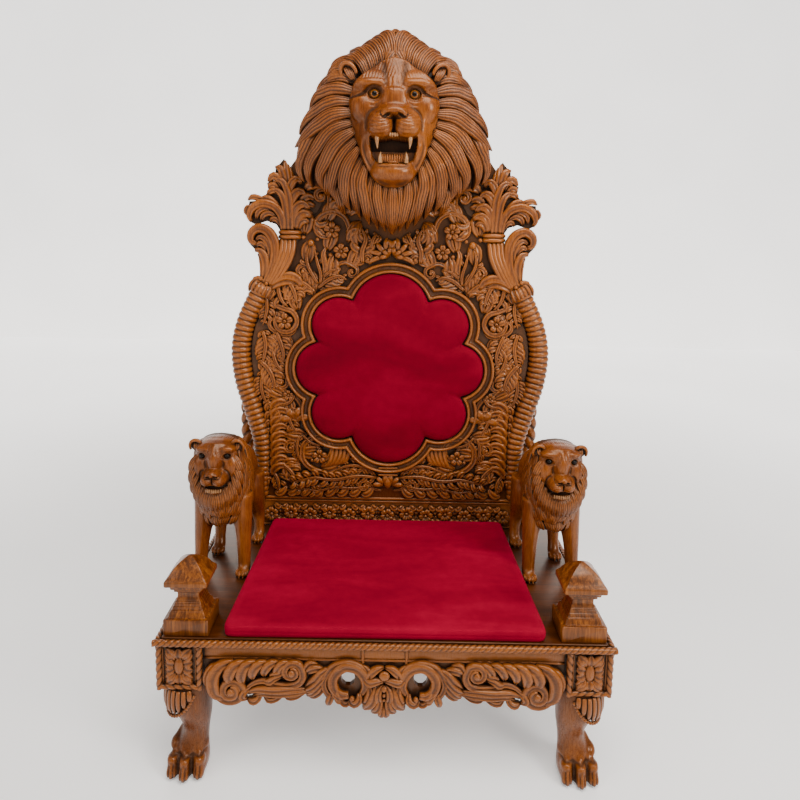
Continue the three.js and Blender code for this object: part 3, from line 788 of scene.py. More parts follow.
@dataclass
class Finishes:
    """The finishes of the throne, made once and shared."""

    carved: bpy.types.Material = made(CarvedWood())
    across: bpy.types.Material = made(CarvedWood(
        name="carved teak, grain across", grain=(0.09, 1.0, 1.0)))
    # The lions' smooth teak: a less pale top colour, a little less painted shade and less gloss.
    lion: bpy.types.Material = made(CarvedWood(
        name="smooth carved teak", dark=(0.060, 0.0125, 0.0010), pale=(0.24, 0.066, 0.0080),
        shade_reach=0.02, painted_shade_strength=0.94, gloss=0.05))
    # The boards and cores that lie behind the relief: the carved teak in darker colours, as painted shade.
    ground: bpy.types.Material = made(CarvedWood(
        name="carved ground", dark=(0.026, 0.0052, 0.0004), mid=(0.060, 0.0135, 0.0013),
        pale=(0.070, 0.020, 0.003)))
    dark: bpy.types.Material = made(DarkWood())
    board: bpy.types.Material = made(DarkWood(
        name="dark teak board", dark=(0.016, 0.0032, 0.0002), mid=(0.046, 0.0100, 0.0007),
        pale=(0.085, 0.0200, 0.0014), grain=(0.07, 1.0, 1.0), gloss=0.05))
    velvet: bpy.types.Material = made(Velvet())
    # The back's velvet is the seat's velvet in darker colours, as painted shade.
    back_velvet: bpy.types.Material = made(Velvet(
        "crimson velvet, upright", (0.080, 0.0001, 0.0045), (0.145, 0.0001, 0.0085),
        (0.23, 0.0002, 0.0160)))
    eye: bpy.types.Material = made(GlassEye(
        "amber eye", 61.0, 1877.0, 7.4, 13.0))
    black_eye: bpy.types.Material = made(Plain(
        "black bead", (0.004, 0.0022, 0.0012), (0.008, 0.004, 0.002), 0.10, 0.13))
    tooth: bpy.types.Material = made(Plain(
        "stained tooth", (0.36, 0.17, 0.060), (0.22, 0.085, 0.022), 0.25))


# ---- Deck, mouldings, pedestals and seat ---------------------------------------------------------
def node_corners(node: str) -> tuple[np.ndarray, np.ndarray]:
    """The lowest and highest corners of a CAD node, in millimetres."""
    low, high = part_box(node)
    return np.array(low) / MM, np.array(high) / MM


def copy_of(node: str, name: str) -> bpy.types.Object:
    """A merged copy of a CAD node's mesh."""
    source = bpy.data.objects[node]
    mesh = source.data.copy()
    obj = bpy.data.objects.new(name, mesh)
    bpy.context.collection.objects.link(obj)
    activate(obj)
    bpy.ops.object.mode_set(mode="EDIT")
    bpy.ops.mesh.select_all(action="SELECT")
    bpy.ops.mesh.remove_doubles(threshold=1e-5)
    bpy.ops.object.mode_set(mode="OBJECT")
    return obj


@dataclass
class Deck:
    """The board that the seat, the pedestals and the back stand on, with its nosed front edge."""

    bevel: float = 3.0

    def build(self, finishes: Finishes) -> None:
        """Makes the board and dresses it."""
        low, high = node_corners("seat_deck")
        board = block("seat_deck_board", low, high, self.bevel)
        tie(dressed(board, finishes.board), "seat_deck")


@dataclass
class RopeMouldings:
    """The rope carving nailed round three edges of the deck."""

    radius: float = 9.5
    step: float = 2.5
    around: int = 12
    twist: Twist = Twist(strands=3, spacing=16.0, depth=0.3)

    def build(self, finishes: Finishes) -> None:
        """Makes the three lengths and dresses them."""
        for node, axis in (("front_rope_moulding", 0), ("right_rope_moulding", 1), ("left_rope_moulding", 1)):
            low, high = node_corners(node)
            start = (low + high) / 2
            end = start.copy()
            start[axis], end[axis] = low[axis], high[axis]
            rows = int((high[axis] - low[axis]) / self.step)
            carving = Carving()
            rod(carving, start, end, self.radius, rows, self.around, self.twist)
            tie(dressed(carving.make(node + "_carved"), finishes.across), node)


@dataclass
class Pedestals:
    """Stepped square pedestals with a hipped cap, at the front corners of the deck."""

    levels: tuple[Flat, ...] = (
        (0, 58), (2, 59.5), (42, 59.5), (44, 58), (45, 49.5), (48, 48), (57, 45.5), (59, 44), (61, 44),
        (62.5, 40.5), (66, 39.5), (70, 39), (71.5, 36.5), (77, 36), (79, 34), (82, 34), (84, 31.5), (89, 31),
        (92, 29), (98, 28.2), (106, 28.5), (109, 32), (111, 36), (117, 36), (119, 38), (120, 43), (127, 44.5),
        (130, 46), (132, 54), (134, 56.5), (144, 56.5), (146.5, 55.5), (149, 54), (153, 50), (158, 46),
        (164, 42.5), (170, 39), (176, 34), (182, 28), (188, 21), (193, 13.5), (197, 6.5), (198.8, 2.5))
    squash: float = 0.92
    corner: float = 0.07
    steps: int = 3

    def ring(self, centre: Flat, height: float, half: float) -> np.ndarray:
        """One square ring with eased corners."""
        points = []
        ease = self.corner * half
        for quarter in range(4):
            for k in range(self.steps + 1):
                angle = math.pi / 2 * (quarter + k / self.steps)
                sx = math.copysign(1, math.cos(math.pi / 4 + math.pi / 2 * quarter))
                sy = math.copysign(1, math.sin(math.pi / 4 + math.pi / 2 * quarter))
                points.append((centre[0] + sx * (half - ease) + ease * math.cos(angle),
                               centre[1] + (sy * (half - ease) + ease * math.sin(angle)) * self.squash,
                               height))
        return np.array(points)

    def build(self, finishes: Finishes) -> None:
        """Makes both pedestals and dresses them."""
        for side in Side:
            node = side.of("pedestal")
            low, high = node_corners(node)
            centre = ((low[0] + high[0]) / 2, (low[1] + high[1]) / 2)
            carving = Carving()
            rings = np.stack([self.ring(centre, low[2] + h, r) for h, r in self.levels])
            carving.shell(rings)
            obj = carving.make(node + "_turned")
            apply_modifier(obj, "BEVEL", width=0.7 * MM, segments=2, limit_method="ANGLE",
                           angle_limit=math.radians(35))
            smooth_by_angle(obj, 30)
            tie(dressed(obj, finishes.dark), node)


@dataclass
class SeatCushion:
    """A boxed velvet seat cushion, wider in front, with a crease along its front and sides."""

    swell: float = 3.5
    crease: float = 1.6
    corner: float = 16.0
    taper: float = 18.0
    around: int = 240
    puckers: int = 26
    seed: int = 7

    def outline(self, low: np.ndarray, high: np.ndarray) -> np.ndarray:
        """The plan of the cushion: a trapezoid with round corners, slightly bowed sides."""
        half_front = high[0]
        half_back = half_front - self.taper
        y0, y1 = low[1], high[1]
        r = self.corner
        corners = [(half_front - r, y0 + r, -90), (half_back - r, y1 - r, 0),
                   (-half_back + r, y1 - r, 90), (-half_front + r, y0 + r, 180)]
        points = []
        for x, y, start in corners:
            for degrees in np.linspace(start, start + 90, 9):
                angle = math.radians(degrees)
                points.append((x + r * math.cos(angle), y + r * math.sin(angle)))
        points.append(points[0])
        line = np.array(points)
        run = np.concatenate([[0], np.cumsum(np.linalg.norm(np.diff(line, axis=0), axis=1))])
        want = np.linspace(0, run[-1], self.around, endpoint=False)
        return np.stack([np.interp(want, run, line[:, k]) for k in range(2)], axis=1)

    def build(self, finishes: Finishes) -> None:
        """Makes the cushion, with its crown, side crease and soft puckers."""
        low, high = node_corners("seat_cushion")
        plan = self.outline(low, high)
        centre = np.array([0.0, (low[1] + high[1]) / 2])
        top = high[2]
        height = high[2] - low[2]
        rings = [(share, low[2], 0.0) for share in np.linspace(0.05, 0.97, 24)]
        for level in np.linspace(0, 1, 15):
            bulge = math.sin(math.pi * level) * self.swell
            groove = self.crease * math.exp(-((level - 0.46) / 0.07) ** 2)
            rings.append((1.0, low[2] + height * (0.02 + 0.88 * level), bulge - groove - self.swell))
        for share in np.linspace(0.985, 0.03, 40):
            rim = (1 - share**10) ** 0.5
            lift = height * 0.90 + height * 0.10 * min(1.0, rim * 1.2)
            rings.append((share, low[2] + lift, -self.swell))
        rng = np.random.default_rng(self.seed)
        limits = ((-380, 380), (-330, 200), (60, 150), (-1.6, 0.9))
        dents = [tuple(rng.uniform(low, high) for low, high in limits) for _ in range(self.puckers)]
        away = unit(plan - centre)
        grid = []
        shade = []
        for share, z, out in rings:
            flat = centre + (plan - centre) * share + away * out * (1 if share > 0.97 else share)
            level = np.full(self.around, z)
            if share < 0.985 and z > top - height * 0.3:
                for x, y, r, d in dents:
                    level += d * np.exp(-((flat[:, 0] - x) ** 2 + (flat[:, 1] - y) ** 2) / r**2)
                level = np.minimum(level, top)
            grid.append(np.column_stack([flat, level]))
            # Painted highlight along the top edge of the cushion's side, kept in the recess attribute for the
            # velvet.
            edge = np.clip(1 - abs(z - (top - 3)) / 9, 0, 1) if share > 0.955 else 0.0
            shade.append(np.full(self.around, edge * 0.55))
        carving = Carving()
        carving.shell(np.stack(grid), np.stack(shade))
        obj = carving.make("seat_cushion_velvet")
        apply_modifier(obj, "SMOOTH", factor=0.4, iterations=2)
        tie(dressed(obj, finishes.velvet), "seat_cushion")


# ---- Carved ornament -----------------------------------------------------------------------------
@dataclass(frozen=True)
class Ground:
    """The upright plane that a relief rises from, towards -Y."""

    y: float

    def at(self, points: Sequence[Sequence[float]]) -> np.ndarray:
        """Places (x, z, height) points in space."""
        p = np.asarray(points, dtype=float)
        return np.column_stack([p[:, 0], self.y - p[:, 2], p[:, 1]])


@dataclass(frozen=True)
class Lobe:
    """A single comma-shaped lobe, from its root round to its curled tip."""

    path: tuple[Flat, ...]
    width: float
    height: float = 14.0
    crown: float = 6.0
    flutes: int = 2
    shape: tuple[float, ...] = (0.4, 0.8, 1.0, 0.95, 0.3)
    full: float = 1.3

    def carve(self, carving: Carving, ground: Ground) -> None:
        """Adds the lobe to a carving."""
        count = len(self.path)
        rise = [self.height * (0.55 + 0.45 * math.sin(math.pi * k / (count - 1))) for k in range(count)]
        points = ground.at([(x, z, h) for (x, z), h in zip(self.path, rise)])
        samples = max(9, int(np.linalg.norm(np.diff(points, axis=0), axis=1).sum() / 9.0))
        Blade(self.width * self.full, self.crown * 1.15, self.height + 2, self.flutes, 2.2, self.shape,
              samples, 4, self.flutes > 1).carve(carving, points)


@dataclass(frozen=True)
class Leaf:
    """An acanthus leaf: a grooved spine with comma-shaped lobes that shingle along it."""

    spine: tuple[Flat, ...]
    width: float
    lobes: int = 5
    height: float = 14.0
    sides: tuple[int, ...] = (1, -1)
    fullness: tuple[float, ...] = (0.6, 0.95, 1.0, 0.75, 0.4)

    def carve(self, carving: Carving, ground: Ground) -> None:
        """Adds the leaf to a carving."""
        line = even_spline(self.spine, 41)
        along = unit(np.gradient(line, axis=0))
        full = spline(self.fullness, self.lobes)
        for side in self.sides:
            away = side * np.column_stack([along[:, 1], -along[:, 0]])
            for k in range(self.lobes):
                i = int(round(40 * (0.03 + 0.80 * k / max(self.lobes - 1, 1))))
                reach = self.width * full[k]
                p, s, t = line[i], away[i], along[i]
                base = self.height * (0.55 + 0.06 * k)
                points = [
                    (*(p - 0.15 * reach * t), base * 0.5),
                    (*(p + 0.38 * reach * s + 0.12 * reach * t), base * 1.0),
                    (*(p + 0.80 * reach * s + 0.38 * reach * t), base * 1.25),
                    (*(p + 0.98 * reach * s + 0.78 * reach * t), base * 1.15),
                    (*(p + 0.80 * reach * s + 1.06 * reach * t), base * 0.95)]
                Blade(0.44 * reach, 0.2 * reach + 2, base, 2, 0.05 * reach + 0.8,
                      (0.4, 0.85, 1.0, 0.9, 0.25), 9, 4, True).carve(carving, ground.at(points))
        rise = self.height * 1.15
        rib = [(x, z, rise * (0.8 + 0.2 * math.sin(3 * k / 8))) for k, (x, z) in enumerate(line[::5])]
        Blade(0.2 * self.width + 2.0, 5.5, rise, 2, 1.8, (0.8, 1.0, 0.95, 0.8, 0.25), 14, 4).carve(
            carving, ground.at(rib))


@dataclass(frozen=True)
class Scroll:
    """A grooved stem that winds up into a volute with a bud at its eye."""

    stem: tuple[Flat, ...]
    centre: Flat
    turns: float = 1.2
    hand: int = 1
    width: float = 7.0
    height: float = 15.0
    bud: float = 6.5
    tight: float = 0.3

    def carve(self, carving: Carving, ground: Ground) -> None:
        """Adds the scroll to a carving."""
        cx, cz = self.centre
        x, z = self.stem[-1]
        radius = math.hypot(x - cx, z - cz)
        start = math.atan2(z - cz, x - cx)
        steps = max(6, int(self.turns * 10))
        wind = []
        for k in range(1, steps + 1):
            share = k / steps
            angle = start + self.hand * 2 * math.pi * self.turns * share
            r = radius * (1 - (1 - self.tight) * share**0.85)
            wind.append((cx + r * math.cos(angle), cz + r * math.sin(angle)))
        flat = list(self.stem) + wind
        line = np.array(flat)
        length = float(np.linalg.norm(np.diff(line, axis=0), axis=1).sum())
        rise = [self.height * (0.55 + 0.45 * k / (len(flat) - 1)) for k in range(len(flat))]
        Blade(self.width * 1.2, 5.5, self.height + 1, 2, 2.6, (0.45, 0.9, 1.0, 1.0, 0.9, 0.6),
              max(20, int(length / 7)), 4, True).carve(
            carving, ground.at([(*p, h) for p, h in zip(flat, rise)]))
        ball(carving, (cx, ground.y - self.height, cz), (self.bud, self.bud * 0.9, self.bud), 14, 8)


@dataclass(frozen=True)
class Flower:
    """An open five-petalled flower with a drilled boss."""

    centre: Flat
    radius: float
    height: float = 16.0
    petals: int = 5

    def carve(self, carving: Carving, ground: Ground) -> None:
        """Adds the flower to a carving."""
        x, z = self.centre
        # A pad behind the petals, in painted shade.
        ball(carving, (x, ground.y - self.height * 0.4, z),
             (self.radius * 0.8, self.height * 0.5, self.radius * 0.8), 14, 6, 0.8)
        flower(carving, (x, ground.y - self.height * 0.75, z), self.radius, self.petals)


@dataclass(frozen=True)
class Berry:
    """A round berry or pearl."""

    centre: Flat
    radius: float = 6.0
    height: float = 14.0

    def carve(self, carving: Carving, ground: Ground) -> None:
        """Adds the berry to a carving."""
        x, z = self.centre
        ball(carving, (x, ground.y - self.height, z), (self.radius,) * 3, 12, 8)


@dataclass(frozen=True)
class Fan:
    """Fluted lobes that spread from one root, as in a palmette or a flute of petals."""

    root: Flat
    inner: float
    outer: float
    start: float
    end: float
    count: int
    height: float = 14.0
    bend: float = 0.25

    def carve(self, carving: Carving, ground: Ground) -> None:
        """Adds the fan to a carving."""
        step = (self.end - self.start) / max(self.count - 1, 1)
        gap = math.radians(abs(step)) * self.outer * 0.42
        for k in range(self.count):
            angle = math.radians(self.start + step * k)
            lean = self.bend * (2 * k / max(self.count - 1, 1) - 1) * math.copysign(1, step)
            points = []
            for share, rise in ((0.0, 0.5), (0.35, 0.95), (0.75, 1.15), (1.0, 0.75)):
                reach = self.inner + (self.outer - self.inner) * share
                turn = angle + lean * share**2
                points.append((self.root[0] + reach * math.cos(turn), self.root[1] + reach * math.sin(turn),
                               self.height * rise))
            Blade(gap, gap * 0.5 + 1, self.height, 1, 0.0, (0.45, 0.75, 1.0, 0.9, 0.25), 10, 6).carve(
                carving, ground.at(points))


Ornament = Lobe | Leaf | Scroll | Flower | Berry | Fan


def carve_all(carving: Carving, ground: Ground, ornaments: Sequence[Ornament]) -> None:
    """Adds a list of ornaments to a carving."""
    for ornament in ornaments:
        ornament.carve(carving, ground)


# ---- The back ------------------------------------------------------------------------------------
@dataclass(frozen=True)
class Lobed:
    """The eight-lobed outline of the back cushion and its frame, as overlapping round lobes."""

    centre: float = 982.0
    lobes: tuple[tuple[float, float, float], ...] = (
        (0, 230, 95), (41.5, 233, 96), (90, 198, 136), (138.5, 233, 96),
        (180, 230, 95), (221.5, 233, 96), (270, 198, 136), (318.5, 233, 96))
    notches: tuple[float, ...] = (21, 62, 118, 159, 201, 242, 298, 339)

    def reach(self, angle: np.ndarray, grow: float = 0.0) -> np.ndarray:
        """Distance from the centre to the outline, moved outwards by grow."""
        best = np.zeros(angle.shape)
        for degrees, away, radius in self.lobes:
            turn = angle - math.radians(degrees)
            room = (radius + grow) ** 2 - (away * np.sin(turn)) ** 2
            edge = away * np.cos(turn) + np.sqrt(np.maximum(room, 0))
            best = np.maximum(best, np.where(room > 0, edge, 0))
        return best

    def angles(self, count: int) -> np.ndarray:
        """Angles all round, with one on each notch."""
        ends = np.radians([*self.notches, self.notches[0] + 360])
        each = count // len(self.notches)
        return np.concatenate([np.linspace(a, b, each, endpoint=False) for a, b in zip(ends, ends[1:])])

    def nearness(self, angle: np.ndarray) -> np.ndarray:
        """How near each angle is to a notch, from 0 to 1."""
        turn = (angle[:, None] - np.radians(self.notches) + np.pi) % (2 * np.pi) - np.pi
        return np.clip(1 - np.min(np.abs(turn), axis=1) / math.radians(9), 0, 1)


@dataclass
class MedallionFrame:
    """The lobed moulding round the back cushion: two rolls with a hollow between them, darkened as painted
    shade.
    """

    outline: Lobed = Lobed()
    back: float = 248.6
    profile: tuple[Flat, ...] = (
        (2.5, 0), (2.5, 19), (4, 23.5), (7, 25.5), (10.5, 24.5), (13, 20.5), (14, 15.5), (16, 13.2), (20, 12),
        (24, 12.6), (26, 15), (27, 20), (29, 24), (32, 25.6), (35, 24.6), (37.4, 20.5), (38, 14), (38, 0))
    count: int = 352

    def build(self, finishes: Finishes) -> None:
        """Makes the frame and dresses it."""
        angle = self.outline.angles(self.count)
        columns = []
        for grow, rise in self.profile:
            reach = self.outline.reach(angle, grow)
            columns.append(np.column_stack([reach * np.cos(angle), np.full(len(angle), self.back - rise),
                                            self.outline.centre + reach * np.sin(angle)]))
        # Painted shade in the hollow between the rolls.
        hollow = np.array([float(rise < 16 and 13 < grow < 27) for grow, rise in self.profile])
        carving = Carving()
        carving.shell(np.stack(columns, axis=1), np.tile(hollow * 0.35, (len(angle), 1)), looped=True)
        ring = dressed(carving.make("medallion_frame_moulding"), finishes.carved)
        tie(ring, "medallion_frame")


@dataclass
class BackCushion:
    """The lobed velvet pad: crowned, with a soft valley running in from each notch."""

    outline: Lobed = Lobed()
    inset: float = -0.5
    front: float = 217.0
    back: float = 248.6
    count: int = 240
    rows: int = 44

    def build(self, finishes: Finishes) -> None:
        """Makes the pad and dresses it."""
        angle = self.outline.angles(self.count)
        reach = self.outline.reach(angle, self.inset)
        near = self.outline.nearness(angle)
        rings = [(share, self.back, 0.0) for share in (0.05, 0.5, 0.97)]
        for share in np.concatenate([[1.0], np.linspace(0.996, 0.02, self.rows)]):
            crown = (1 - share**11) ** 0.55
            rings.append((share, self.back - 14 - (self.back - 14 - self.front) * crown, share))
        grid = []
        shade = []
        for share, y, rim in rings:
            eased = reach * share * (1 - 0.01 * near * rim)
            valley = 1.6 * near**2 * np.clip((rim - 0.8) / 0.18, 0, 1)
            grid.append(np.column_stack([eased * np.cos(angle), y + np.minimum(valley, self.back - y),
                                         self.outline.centre + eased * np.sin(angle)]))
            # Painted highlight towards the pad's rim, kept in the recess attribute for the velvet.
            shade.append(np.full(len(angle), np.clip((rim - 0.88) / 0.11, 0, 1) ** 1.5 * 0.7))
        carving = Carving()
        carving.shell(np.stack(grid), np.stack(shade))
        obj = dressed(carving.make("back_cushion_velvet"), finishes.back_velvet)
        tie(obj, "back_cushion")


@dataclass
class Columns:
    """The two bowed columns, carved all the way up with rounded rings."""

    stations: tuple[tuple[float, float, float], ...] = (
        (440, 514, 15), (442, 560, 20), (445, 620, 27), (447, 720, 33), (475, 829, 35), (507, 937, 35),
        (517, 1044, 35), (499, 1140, 34), (450, 1244, 36))
    y: float = 250.0
    rows: int = 340
    around: int = 20
    reeds: Reeds = Reeds(pitch=19.0, depth=0.17)

    def build(self, finishes: Finishes) -> None:
        """Makes both columns and dresses them."""
        line = even_spline(self.stations, self.rows)
        path = np.column_stack([line[:, 0], np.full(self.rows, self.y), line[:, 1]])
        for side in Side:
            node = side.of("reeded_column")
            carving = Carving()
            round_bar(carving, path, line[:, 2], self.around, self.reeds)
            obj = carving.flip(side).make(node + "_carved")
            tie(dressed(obj, finishes.carved), node)


@dataclass
class SpiralPosts:
    """The twisted posts behind the columns, with a turned base and a finial."""

    x: float = 512.0
    y: float = 318.0
    radius: float = 25.0
    rows: int = 250
    twist: Twist = Twist(strands=2, spacing=44.0, depth=0.34)
    base: tuple[Flat, ...] = ((0, 33), (3, 34), (20, 34), (24, 30), (28, 31), (34, 31), (38, 25), (44, 24))
    finial: tuple[Flat, ...] = ((0, 24), (5, 26), (10, 25), (14, 17), (20, 14), (25, 18), (34, 21),
                                (44, 19), (53, 12), (59, 3))

    def build(self, finishes: Finishes) -> None:
        """Makes both posts and dresses them."""
        base = np.array(self.base)
        finial = np.array(self.finial)
        for side in Side:
            node = side.of("spiral_post")
            low, high = node_corners(node)
            carving = Carving()
            lower = (self.x, self.y, low[2] + base[-1, 0] - 4)
            upper = (self.x, self.y, high[2] - finial[-1, 0] + 2)
            rod(carving, lower, upper, self.radius, self.rows, 22, self.twist, FACE_NORMAL)
            for start, turned in ((low[2], base), (high[2] - finial[-1, 0], finial)):
                path = np.column_stack([np.full(len(turned), self.x), np.full(len(turned), self.y),
                                        start + turned[:, 0]])
                round_bar(carving, path, turned[:, 1], 24)
            obj = carving.flip(side).make(node + "_carved")
            smooth_by_angle(obj, 50)
            tie(dressed(obj, finishes.carved), node)


@dataclass
class LowerRail:
    """The low rail under the back, with a bead above a row of flowers and leaves."""

    ground: Ground = Ground(251.0)
    flowers: int = 6
    pitch: float = 69.0

    def build(self, finishes: Finishes) -> None:
        """Makes the rail and dresses it."""
        low, high = node_corners("lower_carved_rail")
        board = dressed(block("lower_rail_board", (low[0], 252, low[2]), high, 2.0), finishes.across)
        carving = Carving()
        for height, radius in ((high[2] - 5, 5.5), (high[2] - 17, 3.6), (low[2] + 6, 4.5)):
            ends = [(x, self.ground.y, height) for x in (low[0] + 2, high[0] - 2)]
            rod(carving, *ends, radius, 60, 10)
        middle = (low[2] + high[2]) / 2 - 6
        for k in range(-self.flowers, self.flowers + 1):
            x = k * self.pitch
            lift = 9 * (1 if k % 2 else -1)
            flower(carving, (x, self.ground.y - 3, middle + 0.4 * lift), 25, 6, 0.3 + k)
            for dx, dz, radius in ((34, 14, 13), (33, -15, 11)):
                if abs(x + dx) < high[0] - 14:
                    flower(carving, (x + dx, self.ground.y - 1, middle + dz), radius, 5, k + dx)
            for dx, dz, bend in ((24, 34, 1), (24, -34, -1), (46, 32, -1), (46, -34, 1)):
                if abs(x + dx) < high[0] - 22:
                    Lobe(((x + dx - 12 * bend, middle + dz), (x + dx, middle + 0.7 * dz),
                          (x + dx + 9 * bend, middle + 0.85 * dz)), 8.5, 7.0).carve(carving, self.ground)
        relief = dressed(carving.make("lower_rail_relief"), finishes.carved)
        tie(joined("lower_carved_rail_carved", [relief, board]), "lower_carved_rail")


